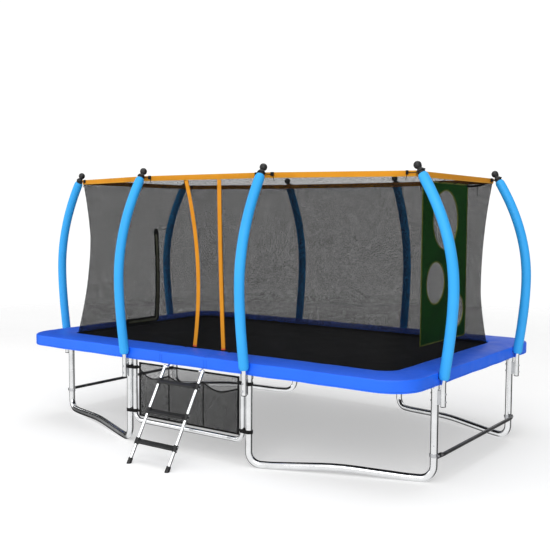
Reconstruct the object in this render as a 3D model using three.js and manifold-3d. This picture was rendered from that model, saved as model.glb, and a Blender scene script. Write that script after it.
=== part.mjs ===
// Rectangular garden trampoline with a bowed-pole safety enclosure, a ladder and a shoe bag.
// Millimetres, +Z up. The long side runs along X and the ladder stands at the front, on the
// -Y side. Pieces are placed about the centre of the frame, and the finished group is then
// moved along Y so that its origin is on the ground at the centre of the whole footprint.
import * as THREE from 'three';
import { mergeVertices } from 'three/addons/utils/BufferGeometryUtils.js';
import Module from 'manifold-3d';

const wasm = await Module();
wasm.setup();
const { Manifold, Mesh: SolidMesh } = wasm;

// ---------------------------------------------------------------- driving dimensions

const GAP = 0.4; // clearance between touching pieces

// top frame: tube centre line and tube radii
const FRAME_HALF_X = 2090;
const FRAME_HALF_Y = 1345;
const FRAME_CORNER_R = 240;
const RAIL_Z = 820;
const RAIL_R = 27;
const LONG_POST_X = 683; // where the long sides' legs and poles stand
const SHORT_POST_Y = 811; // where the short sides' legs and poles stand
const RAIL_JOINT_REACH = 60; // a corner rail runs this far past its leg socket
const SOCKET_R = 36;
const SOCKET_BORE_R = 33;
const SOCKET_BOTTOM_Z = 742;

// legs and braces
const LEG_R = 31;
const LEG_BEND_R = 105;
const LEG_TOP_Z = 790;
const LEG_FLAT_RUN = 90; // level stretch that rests on the ground at each end
const LEVEL_INSET = 5; // stations stand this far inside a level stretch to keep it level
const LEG_ARCH = 34; // how far the middle of the ground tube rises
const BRACE_R = 22;
const BRACE_HALF_X = 617;
const BRACE_Z = 215;
const BRACE_BEND_R = 76;
const TIE_R = 16;
const TIE_Z = 220;
const TIE_REACH = 20; // how far a tie bar runs past its leg's centre line

// enclosure poles, measured outward from the leg's centre line
const POLE_R = 22;
const POLE_OFFSET = 68;
const POLE_BOTTOM_Z = 615;
const POLE_BEND_Z = 790;
const POLE_BULGE = 137;
const POLE_BULGE_Z = 1507;
const POLE_TOP_OFFSET = -144;
const POLE_TOP_Z = 2411;
const POLE_STUB = 28; // bare pole above the foam, inside the cap
const SPACER = { from: 34, to: 52, width: 24, bottomZ: 625, topZ: 736 };
const FOAM_R = 42;
const FOAM_BORE_R = 24.6;
const FOAM_BOTTOM_Z = 823;
const CAP_SIDES = 10;
const CAP_COLLAR_R = 30;
const CAP_COLLAR_LENGTH = 34;
const CAP_BALL_R = 32;
const CAP_BALL_AT = 76; // ball centre above the foam's end
const CAP_NECK_R = 20;
const CAP_START = 4; // the collar starts this far above the foam's end

// jumping mat and spring pad
const MAT_HALF_X = 1862;
const MAT_HALF_Y = 1100;
const MAT_CORNER_R = 170;
const MAT_TOP_Z = 848;
const MAT_THICKNESS = 6;
const MAT_TRAVEL_CLEARANCE = 1;
const PAD_OUT = 41.5; // pad's outer face beyond the frame's centre line
const PAD_INNER_HALF_X = 1832;
const PAD_INNER_HALF_Y = 1046;
const PAD_INNER_R = 150;
const PAD_TOP_Z = 885;
const PAD_THICKNESS = 30;
const SKIRT_THICKNESS = 4;
const SKIRT_BOTTOM_Z = 778;
const PAD_NOTCH_R = 44.5;
const PAD_NOTCH_OFFSET = 73;
const PAD_NOTCH_BOTTOM_Z = 819;

// safety net
const NET_THICKNESS = 3;
const NET_TOP_Z = 2434;
const NET_BOTTOM_Z = MAT_TOP_Z + MAT_TRAVEL_CLEARANCE;
const NET_BOTTOM_HALF_X = 1826;
const NET_BOTTOM_HALF_Y = 1040;
const NET_BOTTOM_R = 146;
const NET_TOP_INSET = 196; // top corners, inward from the frame's centre line
const NET_WAIST = 60; // how far the net bows in at half height
const NET_LEVELS = [0, 0.17, 0.34, 0.5, 0.66, 0.82, 0.97, 1];
const BAND_HEIGHT = 46;
const BAND_THICKNESS = 3;
const BAND_OFFSET = 5;

// doorway of two overlapping flaps, at the middle of the front
const DOOR_HALF = 200;
const DOOR_BOTTOM_Z = 889;
const DOOR_TOP_Z = NET_TOP_Z - BAND_HEIGHT - 3;
const FLAP_EDGE_TOP = -180;
const FLAP_EDGE_MIDDLE = -110; // control point of the bowed free edge
const FLAP_EDGE_BOTTOM = -168;
const FLAP_OFFSET = 7;
const FLAP_CLEARANCE = 3;

// L-shaped zip door on the left side: its free corner is low and at the back
const ZIP_Y = 205;
const ZIP_BOTTOM_Z = 902;
const ZIP_TOP_Z = 1888;
const ZIP_END_Y = -262;
const ZIP_SLIT = 4;
const SLIDER = { depth: 7, width: 16, height: 26, stand: 2.5 };

// ball target inside the right side of the net
const TARGET = { x: 1785, thickness: 3, halfY: 460, bottomZ: 1005, topZ: 2366 };
const TARGET_HOLES = [
  { y: 0, z: 2050, r: 256 },
  { y: -183, z: 1514, r: 181 },
  { y: 266, z: 1243, r: 150 },
];

// shoe bag hanging in the front brace
const BAG = { halfX: 572, bottomZ: 254, topZ: 746, pocketZ: 640, backY: -1332, frontY: -1370, wall: 3 };

// ladder: two rails on hooks, three treads and two feet
const LADDER_X = 20;
const LADDER_HALF = 215;
const LADDER_RAIL_R = 15;
const LADDER_PIVOT_OUT = 60; // pivot outward of and below the frame tube's centre
const LADDER_PIVOT_DOWN = 65;
const LADDER_FOOT_Y = -1850;
const LADDER_TREADS = { low: 170, middle: 404, top: 638 };
const TREAD = { depth: 84, thickness: 20, sleeveR: 21, sleeveLength: 56 };
const FOOT_CAP = { r: 20, length: 46, sole: 12 };
const HOOK = { width: 20, innerR: 28.9, outerR: 33.4, lugR: 13.5, tipAngle: 200 };

// ---------------------------------------------------------------- materials

function finish(color, roughness, metalness) {
  return { color, roughness, metalness };
}

const FINISHES = {
  steel: finish(0xd4d7da, 0.18, 1),
  foam: finish(0x46b4ff, 0.62, 0),
  blackPlastic: finish(0x1b1c1e, 0.45, 0),
  mat: finish(0x191919, 0.85, 0),
  pad: finish(0x2c6ff0, 0.4, 0),
  net: finish(0x6a6a6c, 0.9, 0),
  orange: finish(0xe8922a, 0.75, 0),
  target: finish(0x1f5a20, 0.7, 0),
  bag: finish(0x3c3d40, 0.9, 0),
};

const trampoline = new THREE.Group();

/** Add one named piece to the trampoline and return its mesh, ready to be placed. */
function piece(name, geometry, look) {
  const mesh = new THREE.Mesh(geometry, new THREE.MeshStandardMaterial(FINISHES[look]));
  mesh.name = name;
  trampoline.add(mesh);
  return mesh;
}

// ---------------------------------------------------------------- solid helpers

/** A closed geometry as a solid that can be joined and cut. */
function toSolid(geometry) {
  const bare = geometry.clone();
  bare.deleteAttribute('normal');
  bare.deleteAttribute('uv');
  const merged = mergeVertices(bare, 1e-3);
  return new Manifold(new SolidMesh({
    numProp: 3,
    vertProperties: Float32Array.from(merged.attributes.position.array),
    triVerts: Uint32Array.from(merged.index.array),
  }));
}

/** A solid back as a geometry. */
function toGeometry(solid) {
  const { vertProperties, triVerts, numProp } = solid.getMesh();
  const geometry = new THREE.BufferGeometry();
  const positions = new Float32Array((vertProperties.length / numProp) * 3);
  for (let i = 0; i < positions.length / 3; i += 1) {
    positions.set(vertProperties.subarray(i * numProp, i * numProp + 3), i * 3);
  }
  geometry.setAttribute('position', new THREE.BufferAttribute(positions, 3));
  geometry.setIndex(new THREE.BufferAttribute(Uint32Array.from(triVerts), 1));
  geometry.computeVertexNormals();
  return geometry;
}

/** Regular polygon whose flats, not its corners, stand `radius` from the centre. */
function flatsShape(radius, sides) {
  const corner = radius / Math.cos(Math.PI / sides);
  const points = [];
  for (let i = 0; i < sides; i += 1) {
    const angle = ((i + 0.5) / sides) * 2 * Math.PI;
    points.push(new THREE.Vector2(corner * Math.cos(angle), corner * Math.sin(angle)));
  }
  return new THREE.Shape(points);
}

/** A centre line through chosen stations, so that straights take no needless steps. */
class StationCurve extends THREE.Curve {
  constructor(stations) {
    super();
    this.stations = stations;
  }

  get steps() {
    return this.stations.length - 1;
  }

  getPoint(t) {
    const place = t * this.steps;
    const index = Math.min(Math.floor(place), this.steps - 1);
    return this.stations[index].clone().lerp(this.stations[index + 1], place - index);
  }

  getPointAt(u) {
    return this.getPoint(u);
  }

  getTangentAt(u) {
    const index = Math.round(u * this.steps);
    const ahead = this.stations[Math.min(index + 1, this.steps)];
    const here = this.stations[index];
    const behind = this.stations[Math.max(index - 1, 0)];
    const out = ahead.clone().sub(here).normalize();
    const back = here.clone().sub(behind).normalize();
    return out.add(back).normalize();
  }
}

/** Sweep a section along stations as one closed solid. */
function sweep(stations, section) {
  const extrudePath = new StationCurve(stations);
  return new THREE.ExtrudeGeometry(section, { steps: extrudePath.steps, extrudePath, curveSegments: 12 });
}

/** Stations of a bend in the plane of two unit vectors, from `startAxis` towards `endAxis`. */
function bend(centre, startAxis, endAxis, radius, count) {
  const stations = [];
  for (let i = 0; i <= count; i += 1) {
    const angle = (i / count) * (Math.PI / 2);
    const point = centre.clone().addScaledVector(startAxis, radius * Math.cos(angle));
    stations.push(point.addScaledVector(endAxis, radius * Math.sin(angle)));
  }
  return stations;
}

/** Rectangle with rounded corners, centred on the origin. */
function roundedRectangle(halfX, halfY, radius, Kind = THREE.Shape) {
  const shape = new Kind();
  const quarter = Math.PI / 2;
  shape.absarc(halfX - radius, halfY - radius, radius, 0, quarter);
  shape.absarc(radius - halfX, halfY - radius, radius, quarter, 2 * quarter);
  shape.absarc(radius - halfX, radius - halfY, radius, 2 * quarter, 3 * quarter);
  shape.absarc(halfX - radius, radius - halfY, radius, 3 * quarter, 4 * quarter);
  shape.closePath();
  return shape;
}

/** Upright extrusion of a plan shape between two heights. */
function slab(shape, bottomZ, topZ, curveSegments = 5) {
  const geometry = new THREE.ExtrudeGeometry(shape, {
    depth: topZ - bottomZ,
    bevelEnabled: false,
    curveSegments,
  });
  return geometry.translate(0, 0, bottomZ);
}

/** Box between two corners. */
function box(low, high) {
  const size = high.map((value, axis) => value - low[axis]);
  const middle = high.map((value, axis) => (value + low[axis]) / 2);
  return new THREE.BoxGeometry(...size).translate(...middle);
}

/** Upright prism of a regular polygon at a place in plan. */
function post(x, y, radius, bottomZ, topZ, sides = 12) {
  return slab(flatsShape(radius, sides), bottomZ, topZ).translate(x, y, 0);
}

const X_AXIS = new THREE.Vector3(1, 0, 0);
const Y_AXIS = new THREE.Vector3(0, 1, 0);
const Z_AXIS = new THREE.Vector3(0, 0, 1);

// ---------------------------------------------------------------- where the posts stand

// Going round the frame from the left side's front post. `out` is the way the pole leans.
const POSTS = [
  { name: 'left_front', x: -FRAME_HALF_X, y: -SHORT_POST_Y, out: [-1, 0] },
  { name: 'front_left', x: -LONG_POST_X, y: -FRAME_HALF_Y, out: [0, -1] },
  { name: 'front_right', x: LONG_POST_X, y: -FRAME_HALF_Y, out: [0, -1] },
  { name: 'right_front', x: FRAME_HALF_X, y: -SHORT_POST_Y, out: [1, 0] },
  { name: 'right_back', x: FRAME_HALF_X, y: SHORT_POST_Y, out: [1, 0] },
  { name: 'back_right', x: LONG_POST_X, y: FRAME_HALF_Y, out: [0, 1] },
  { name: 'back_left', x: -LONG_POST_X, y: FRAME_HALF_Y, out: [0, 1] },
  { name: 'left_back', x: -FRAME_HALF_X, y: SHORT_POST_Y, out: [-1, 0] },
];

const CORNERS = [
  { name: 'front_left', signX: -1, signY: -1 },
  { name: 'front_right', signX: 1, signY: -1 },
  { name: 'back_right', signX: 1, signY: 1 },
  { name: 'back_left', signX: -1, signY: 1 },
];

// ---------------------------------------------------------------- top frame

/** Corner rail: a bent tube with the two leg sockets welded on. */
function cornerRail({ signX, signY }) {
  const centre = new THREE.Vector3(
    signX * (FRAME_HALF_X - FRAME_CORNER_R),
    signY * (FRAME_HALF_Y - FRAME_CORNER_R),
    RAIL_Z,
  );
  const outX = X_AXIS.clone().multiplyScalar(signX);
  const outY = Y_AXIS.clone().multiplyScalar(signY);
  const stations = [
    new THREE.Vector3(signX * FRAME_HALF_X, signY * (SHORT_POST_Y - RAIL_JOINT_REACH), RAIL_Z),
    ...bend(centre, outX, outY, FRAME_CORNER_R, 5),
    new THREE.Vector3(signX * (LONG_POST_X - RAIL_JOINT_REACH), signY * FRAME_HALF_Y, RAIL_Z),
  ];
  const feet = [
    [signX * FRAME_HALF_X, signY * SHORT_POST_Y],
    [signX * LONG_POST_X, signY * FRAME_HALF_Y],
  ];
  let rail = toSolid(sweep(stations, flatsShape(RAIL_R, 12)));
  for (const [x, y] of feet) {
    const socket = toSolid(post(x, y, SOCKET_R, SOCKET_BOTTOM_Z, RAIL_Z));
    const bore = toSolid(post(x, y, SOCKET_BORE_R, SOCKET_BOTTOM_Z - 1, LEG_TOP_Z + GAP));
    rail = rail.add(socket).subtract(bore);
  }
  return toGeometry(rail);
}

/** Straight rail between two corner rails, along X or Y. */
function sideRail(axis, halfLength, x, y) {
  const start = new THREE.Vector3(x, y, RAIL_Z).addScaledVector(axis, -halfLength);
  const end = new THREE.Vector3(x, y, RAIL_Z).addScaledVector(axis, halfLength);
  return sweep([start, end], flatsShape(RAIL_R, 12));
}

for (const corner of CORNERS) {
  piece(`corner_rail_${corner.name}`, cornerRail(corner), 'steel');
}
const longRailHalf = LONG_POST_X - RAIL_JOINT_REACH - GAP;
const shortRailHalf = SHORT_POST_Y - RAIL_JOINT_REACH - GAP;
piece('side_rail_front', sideRail(X_AXIS, longRailHalf, 0, -FRAME_HALF_Y), 'steel');
piece('side_rail_back', sideRail(X_AXIS, longRailHalf, 0, FRAME_HALF_Y), 'steel');
piece('side_rail_left', sideRail(Y_AXIS, shortRailHalf, -FRAME_HALF_X, 0), 'steel');
piece('side_rail_right', sideRail(Y_AXIS, shortRailHalf, FRAME_HALF_X, 0), 'steel');

// ---------------------------------------------------------------- legs and braces

/** U tube in the XZ plane, open at the top, with an optional arch in its level run. */
function uTube({ halfSpan, topZ, lowZ, bendR, radius, sides, flatRun = 0, arch = 0 }) {
  const down = Z_AXIS.clone().negate();
  const turnX = halfSpan - bendR;
  const flatX = turnX - flatRun;
  const leftBend = bend(new THREE.Vector3(-turnX, 0, lowZ + bendR), X_AXIS.clone().negate(), down, bendR, 5);
  const middle = [];
  if (arch > 0) {
    const levels = [
      [-turnX + LEVEL_INSET, 0],
      [-flatX - LEVEL_INSET, 0],
      [-flatX + LEVEL_INSET, LEVEL_INSET * arch / flatX],
      [-0.12 * flatX, 0.83 * arch],
      [0, arch],
    ];
    const rising = levels.map(([x, rise]) => new THREE.Vector3(x, 0, lowZ + rise));
    const falling = rising.slice(0, -1).reverse().map(({ x, z }) => new THREE.Vector3(-x, 0, z));
    middle.push(...rising, ...falling);
  }
  const rightBend = bend(new THREE.Vector3(turnX, 0, lowZ + bendR), down, X_AXIS, bendR, 5);
  const stations = [
    new THREE.Vector3(-halfSpan, 0, topZ),
    ...leftBend,
    ...middle,
    ...rightBend,
    new THREE.Vector3(halfSpan, 0, topZ),
  ];
  return sweep(stations, flatsShape(radius, sides));
}

const legSpanX = FRAME_HALF_X - LONG_POST_X;
const legSpanY = FRAME_HALF_Y - SHORT_POST_Y;
const legGeometry = uTube({
  halfSpan: Math.hypot(legSpanX, legSpanY) / 2,
  topZ: LEG_TOP_Z,
  lowZ: LEG_R,
  bendR: LEG_BEND_R,
  radius: LEG_R,
  sides: 12,
  flatRun: LEG_FLAT_RUN,
  arch: LEG_ARCH,
});
for (const { name, signX, signY } of CORNERS) {
  const leg = piece(`corner_leg_${name}`, legGeometry, 'steel');
  leg.position.set(signX * (FRAME_HALF_X + LONG_POST_X) / 2, signY * (FRAME_HALF_Y + SHORT_POST_Y) / 2, 0);
  leg.rotation.z = -signX * signY * Math.atan2(legSpanY, legSpanX);
}

const braceGeometry = uTube({
  halfSpan: BRACE_HALF_X,
  topZ: RAIL_Z - RAIL_R - GAP,
  lowZ: BRACE_Z,
  bendR: BRACE_BEND_R,
  radius: BRACE_R,
  sides: 8,
});
for (const [name, signY] of [['front', -1], ['back', 1]]) {
  piece(`u_brace_${name}`, braceGeometry, 'steel').position.y = signY * FRAME_HALF_Y;
}

const tieX = FRAME_HALF_X + LEG_R / Math.cos(Math.PI / 12) + TIE_R + GAP;
const tieHalf = SHORT_POST_Y + TIE_REACH;
for (const [name, signX] of [['left', -1], ['right', 1]]) {
  const ends = [-tieHalf, tieHalf].map((y) => new THREE.Vector3(signX * tieX, y, TIE_Z));
  piece(`tie_bar_${name}`, sweep(ends, flatsShape(TIE_R, 8)), 'steel');
}

// ---------------------------------------------------------------- enclosure poles

// A pole's own frame: X points outward from its leg's centre line, Z up.
const lowerBow = new THREE.CubicBezierCurve3(
  new THREE.Vector3(POLE_OFFSET, 0, POLE_BEND_Z),
  new THREE.Vector3(POLE_OFFSET, 0, POLE_BEND_Z + 60),
  new THREE.Vector3(POLE_BULGE, 0, 1200),
  new THREE.Vector3(POLE_BULGE, 0, POLE_BULGE_Z),
);
const upperBow = new THREE.QuadraticBezierCurve3(
  new THREE.Vector3(POLE_BULGE, 0, POLE_BULGE_Z),
  new THREE.Vector3(POLE_BULGE, 0, (POLE_BULGE_Z + POLE_TOP_Z) / 2),
  new THREE.Vector3(POLE_TOP_OFFSET, 0, POLE_TOP_Z),
);
const poleTop = upperBow.getPoint(1);
const poleTopDirection = upperBow.getTangent(1);

/** Point of the pole's bow at a height, found by halving. */
function bowAtHeight(height) {
  const curve = height < POLE_BULGE_Z ? lowerBow : upperBow;
  let low = 0;
  let high = 1;
  for (let i = 0; i < 30; i += 1) {
    const middle = (low + high) / 2;
    if (curve.getPoint(middle).z < height) low = middle;
    else high = middle;
  }
  return curve.getPoint(low);
}

const BOW_HEIGHTS = [930, 1180, 1507, 1750, 1960, 2130, 2280];
const bowStations = BOW_HEIGHTS.map(bowAtHeight);

/** Pole: the tube and the channel spacer that bolts it to its leg. */
function poleGeometry() {
  const stations = [
    new THREE.Vector3(POLE_OFFSET, 0, POLE_BOTTOM_Z),
    new THREE.Vector3(POLE_OFFSET, 0, POLE_BEND_Z),
    bowAtHeight(FOAM_BOTTOM_Z),
    ...bowStations,
    poleTop,
    poleTop.clone().addScaledVector(poleTopDirection, POLE_STUB),
  ];
  const tube = toSolid(sweep(stations, flatsShape(POLE_R, 8)));
  const spacer = toSolid(box(
    [SPACER.from, -SPACER.width / 2, SPACER.bottomZ],
    [SPACER.to, SPACER.width / 2, SPACER.topZ],
  ));
  return toGeometry(tube.add(spacer));
}

/** Foam sleeve: a hollow tube round the bowed part of the pole. */
function foamGeometry() {
  const stations = [bowAtHeight(FOAM_BOTTOM_Z), ...bowStations, poleTop];
  const section = flatsShape(FOAM_R, 8);
  section.holes.push(new THREE.Path(flatsShape(FOAM_BORE_R, 6).getPoints()));
  return sweep(stations, section);
}

/** Cap: a collar over the pole's end, a neck and a ball. */
function capGeometry() {
  const bore = POLE_R / Math.cos(Math.PI / 8) / Math.cos(Math.PI / CAP_SIDES) + GAP;
  const profile = [
    new THREE.Vector2(0, POLE_STUB + 1),
    new THREE.Vector2(bore, POLE_STUB + 1),
    new THREE.Vector2(bore, CAP_START),
    new THREE.Vector2(CAP_COLLAR_R, CAP_START),
    new THREE.Vector2(CAP_COLLAR_R, CAP_COLLAR_LENGTH),
    new THREE.Vector2(CAP_NECK_R, CAP_COLLAR_LENGTH + 10),
  ];
  const neckAngle = -0.33 * Math.PI;
  for (let i = 0; i <= 5; i += 1) {
    const angle = neckAngle + (i / 5) * (Math.PI / 2 - neckAngle);
    const radius = i === 5 ? 0 : CAP_BALL_R * Math.cos(angle);
    profile.push(new THREE.Vector2(radius, CAP_BALL_AT + CAP_BALL_R * Math.sin(angle)));
  }
  const lathe = new THREE.LatheGeometry(profile, CAP_SIDES);
  const alongPole = new THREE.Quaternion().setFromUnitVectors(Y_AXIS, poleTopDirection);
  return lathe.applyQuaternion(alongPole).translate(poleTop.x, 0, poleTop.z);
}

const poleParts = [
  { prefix: 'pole', geometry: poleGeometry(), look: 'steel' },
  { prefix: 'foam_sleeve', geometry: foamGeometry(), look: 'foam' },
  { prefix: 'pole_cap', geometry: capGeometry(), look: 'blackPlastic' },
];
for (const { prefix, geometry, look } of poleParts) {
  for (const { name, x, y, out } of POSTS) {
    const mesh = piece(`${prefix}_${name}`, geometry, look);
    mesh.position.set(x, y, 0);
    mesh.rotation.z = Math.atan2(out[1], out[0]);
  }
}

// ---------------------------------------------------------------- mat and spring pad

const matShape = roundedRectangle(MAT_HALF_X, MAT_HALF_Y, MAT_CORNER_R);
piece('jumping_mat', slab(matShape, MAT_TOP_Z - MAT_THICKNESS, MAT_TOP_Z), 'mat');

/** Rounded ring between an outer and an inner outline. */
function ring(outer, inner) {
  const shape = roundedRectangle(...outer);
  shape.holes.push(roundedRectangle(...inner, THREE.Path));
  return shape;
}

/** Spring pad: a flat padded ring with a skirt, cut back where the foam sleeves stand. */
function padGeometry() {
  const outer = [FRAME_HALF_X + PAD_OUT, FRAME_HALF_Y + PAD_OUT, FRAME_CORNER_R + PAD_OUT];
  const skirtInner = outer.map((value) => value - SKIRT_THICKNESS);
  const opening = [PAD_INNER_HALF_X, PAD_INNER_HALF_Y, PAD_INNER_R];
  const top = toSolid(slab(ring(outer, opening), PAD_TOP_Z - PAD_THICKNESS, PAD_TOP_Z));
  const skirt = toSolid(slab(ring(outer, skirtInner), SKIRT_BOTTOM_Z, PAD_TOP_Z - 1));
  let pad = top.add(skirt);
  for (const { x, y, out } of POSTS) {
    const notchX = x + out[0] * PAD_NOTCH_OFFSET;
    const notchY = y + out[1] * PAD_NOTCH_OFFSET;
    pad = pad.subtract(toSolid(post(notchX, notchY, PAD_NOTCH_R, PAD_NOTCH_BOTTOM_Z, PAD_TOP_Z + 5)));
  }
  return toGeometry(pad);
}
piece('spring_pad', padGeometry(), 'pad');

// ---------------------------------------------------------------- safety net

const netTop = POSTS.map(({ x, y, out }) => new THREE.Vector2(
  x - out[0] * NET_TOP_INSET,
  y - out[1] * NET_TOP_INSET,
));
const netSides = POSTS.map((start, index) => {
  const end = POSTS[(index + 1) % POSTS.length];
  const straight = start.out[0] === end.out[0] && start.out[1] === end.out[1];
  return { start, end, index, straight };
});

/** Point of the net's bottom edge under a post. */
function netFoot({ x, y, out }) {
  return new THREE.Vector2(
    out[0] === 0 ? x : out[0] * NET_BOTTOM_HALF_X,
    out[1] === 0 ? y : out[1] * NET_BOTTOM_HALF_Y,
  );
}

/** Bottom edge of one side: straight, or round a corner of the mat. */
function netBottomPath({ start, end, straight }) {
  const from = netFoot(start);
  const to = netFoot(end);
  const path = new THREE.Path();
  path.moveTo(from.x, from.y);
  if (!straight) {
    const signX = Math.sign(start.x + end.x);
    const signY = Math.sign(start.y + end.y);
    const centreX = signX * (NET_BOTTOM_HALF_X - NET_BOTTOM_R);
    const centreY = signY * (NET_BOTTOM_HALF_Y - NET_BOTTOM_R);
    const startAngle = Math.atan2(start.out[1], start.out[0]);
    path.absarc(centreX, centreY, NET_BOTTOM_R, startAngle, startAngle + Math.PI / 2);
  }
  path.lineTo(to.x, to.y);
  return path;
}

/** Inward direction in plan: square to the side, and shared with the next side at a post. */
function inwardAt(side, share) {
  const square = (other) => {
    const along = netTop[(other.index + 1) % netTop.length].clone().sub(netTop[other.index]).normalize();
    return new THREE.Vector2(-along.y, along.x);
  };
  const own = square(side);
  const edge = share < 0.5 ? -1 : 1;
  const neighbour = square(netSides[(side.index + edge + netSides.length) % netSides.length]);
  const towardsPost = Math.abs(share - 0.5) * 2;
  return own.lerp(neighbour, towardsPost / 2).normalize();
}

const NET_COLUMNS = { straight: 3, corner: 7 };

/** Plan columns all round the net, each with its foot, its top and its inward direction. */
const netColumns = netSides.flatMap((side) => {
  const path = netBottomPath(side);
  const count = side.straight ? NET_COLUMNS.straight : NET_COLUMNS.corner;
  const topStart = netTop[side.index];
  const topEnd = netTop[(side.index + 1) % netTop.length];
  return Array.from({ length: count }, (_, step) => {
    const share = step / count;
    return {
      foot: path.getPointAt(share),
      top: topStart.clone().lerp(topEnd, share),
      inward: inwardAt(side, share),
    };
  });
});

/** Point of the net at a column and a share of its height, moved outward by `offset`. */
function netPoint({ foot, top, inward }, rise, offset) {
  const flat = foot.clone().lerp(top, rise);
  flat.addScaledVector(inward, NET_WAIST * 4 * rise * (1 - rise) - offset);
  return [flat.x, flat.y, NET_BOTTOM_Z + (NET_TOP_Z - NET_BOTTOM_Z) * rise];
}

/** Closed wall of the net's shape, `thickness` thick about `offset`, over the given rises. */
function netWall(rises, offset, thickness) {
  const positions = [];
  const columns = netColumns.length;
  const faces = [offset + thickness / 2, offset - thickness / 2];
  for (const face of faces) {
    for (const rise of rises) {
      for (const column of netColumns) positions.push(...netPoint(column, rise, face));
    }
  }
  const inner = rises.length * columns;
  const index = [];
  const quad = (a, b, c, d) => index.push(a, b, c, a, c, d);
  for (let j = 0; j < columns; j += 1) {
    const next = (j + 1) % columns;
    for (let i = 0; i < rises.length - 1; i += 1) {
      const row = i * columns;
      const above = row + columns;
      quad(row + j, row + next, above + next, above + j);
      quad(inner + row + next, inner + row + j, inner + above + j, inner + above + next);
    }
    const last = (rises.length - 1) * columns;
    quad(last + j, last + next, inner + last + next, inner + last + j);
    quad(next, j, inner + j, inner + next);
  }
  const geometry = new THREE.BufferGeometry();
  geometry.setAttribute('position', new THREE.Float32BufferAttribute(positions, 3));
  geometry.setIndex(index);
  return geometry;
}

const netRiseOf = (height) => (height - NET_BOTTOM_Z) / (NET_TOP_Z - NET_BOTTOM_Z);

/** Prism across the front of the net from an outline drawn in X and Z. */
function frontPrism(shape) {
  const reach = 400;
  const prism = new THREE.ExtrudeGeometry(shape, { depth: reach, bevelEnabled: false, curveSegments: 8 });
  return toSolid(prism.rotateX(Math.PI / 2).translate(0, reach / 2 - FRAME_HALF_Y + NET_TOP_INSET, 0));
}

/** Prism across the left side of the net from an outline drawn in Y and Z. */
function leftPrism(shape) {
  const reach = 400;
  const prism = new THREE.ExtrudeGeometry(shape, { depth: reach, bevelEnabled: false });
  const turned = prism.rotateX(Math.PI / 2).rotateZ(Math.PI / 2);
  return toSolid(turned.translate(-FRAME_HALF_X, 0, 0));
}

/** Rectangle between two corners, as a shape. */
function rectangle(left, bottom, right, top) {
  const shape = new THREE.Shape();
  shape.moveTo(left, bottom);
  shape.lineTo(right, bottom);
  shape.lineTo(right, top);
  shape.lineTo(left, top);
  shape.closePath();
  return shape;
}

/** Outline of a door flap: a straight hinge edge, and a free edge bowed towards it. */
function flapOutline(side) {
  const hinge = side * (DOOR_HALF - FLAP_CLEARANCE);
  const middleZ = (DOOR_TOP_Z + DOOR_BOTTOM_Z) / 2;
  const shape = new THREE.Shape();
  shape.moveTo(side * FLAP_EDGE_BOTTOM, DOOR_BOTTOM_Z);
  shape.lineTo(hinge, DOOR_BOTTOM_Z);
  shape.lineTo(hinge, DOOR_TOP_Z);
  shape.lineTo(side * FLAP_EDGE_TOP, DOOR_TOP_Z);
  shape.quadraticCurveTo(side * FLAP_EDGE_MIDDLE, middleZ, side * FLAP_EDGE_BOTTOM, DOOR_BOTTOM_Z);
  return shape;
}

/** Triangle between the two arms of the L-shaped zip, grown by `margin`. */
function zipTriangle(margin) {
  const shape = new THREE.Shape();
  shape.moveTo(ZIP_END_Y - 2 * margin, ZIP_BOTTOM_Z - margin);
  shape.lineTo(ZIP_Y + margin, ZIP_BOTTOM_Z - margin);
  shape.lineTo(ZIP_Y + margin, ZIP_TOP_Z + 5 * margin);
  shape.closePath();
  return shape;
}

const flapOuterWall = toSolid(netWall(NET_LEVELS, FLAP_OFFSET, NET_THICKNESS));
const flapInnerWall = toSolid(netWall(NET_LEVELS, -FLAP_OFFSET, NET_THICKNESS));
const netWallSolid = toSolid(netWall(NET_LEVELS, 0, NET_THICKNESS));
const doorway = frontPrism(rectangle(-DOOR_HALF, DOOR_BOTTOM_Z - GAP, DOOR_HALF, DOOR_TOP_Z + GAP));
const zipOpening = leftPrism(zipTriangle(ZIP_SLIT));

piece('safety_net', toGeometry(netWallSolid.subtract(doorway).subtract(zipOpening)), 'net');
piece('door_flap_outer', toGeometry(flapOuterWall.intersect(frontPrism(flapOutline(1)))), 'net');
piece('door_flap_inner', toGeometry(flapInnerWall.intersect(frontPrism(flapOutline(-1)))), 'net');
piece('zip_door', toGeometry(netWallSolid.intersect(leftPrism(zipTriangle(0)))), 'net');

const bandRises = [netRiseOf(NET_TOP_Z - BAND_HEIGHT), 1];
piece('top_band', netWall(bandRises, BAND_OFFSET, BAND_THICKNESS), 'orange');

/** X of the left side's net at a height, on its centre surface. */
function leftNetX(height) {
  const rise = netRiseOf(height);
  const chord = NET_BOTTOM_HALF_X + (FRAME_HALF_X - NET_TOP_INSET - NET_BOTTOM_HALF_X) * rise;
  return -(chord - NET_WAIST * 4 * rise * (1 - rise));
}

/** Zip slider: a small tapered block that stands on the net's outer face. */
function sliderGeometry() {
  const middleZ = ZIP_TOP_Z + 5 * ZIP_SLIT + SLIDER.height / 2;
  const outline = new THREE.Shape();
  outline.moveTo(-SLIDER.width / 2, -SLIDER.height / 2);
  outline.lineTo(SLIDER.width / 2, -SLIDER.height / 2);
  outline.lineTo(SLIDER.width / 3, SLIDER.height / 2);
  outline.lineTo(-SLIDER.width / 3, SLIDER.height / 2);
  outline.closePath();
  const block = new THREE.ExtrudeGeometry(outline, { depth: SLIDER.depth, bevelEnabled: false });
  const face = leftNetX(middleZ + SLIDER.height / 2) - NET_THICKNESS / 2 - SLIDER.stand;
  return block.rotateX(Math.PI / 2).rotateZ(Math.PI / 2).translate(face - SLIDER.depth, ZIP_Y, middleZ);
}
piece('zip_slider', sliderGeometry(), 'blackPlastic');

// ---------------------------------------------------------------- ball target and shoe bag

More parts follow.
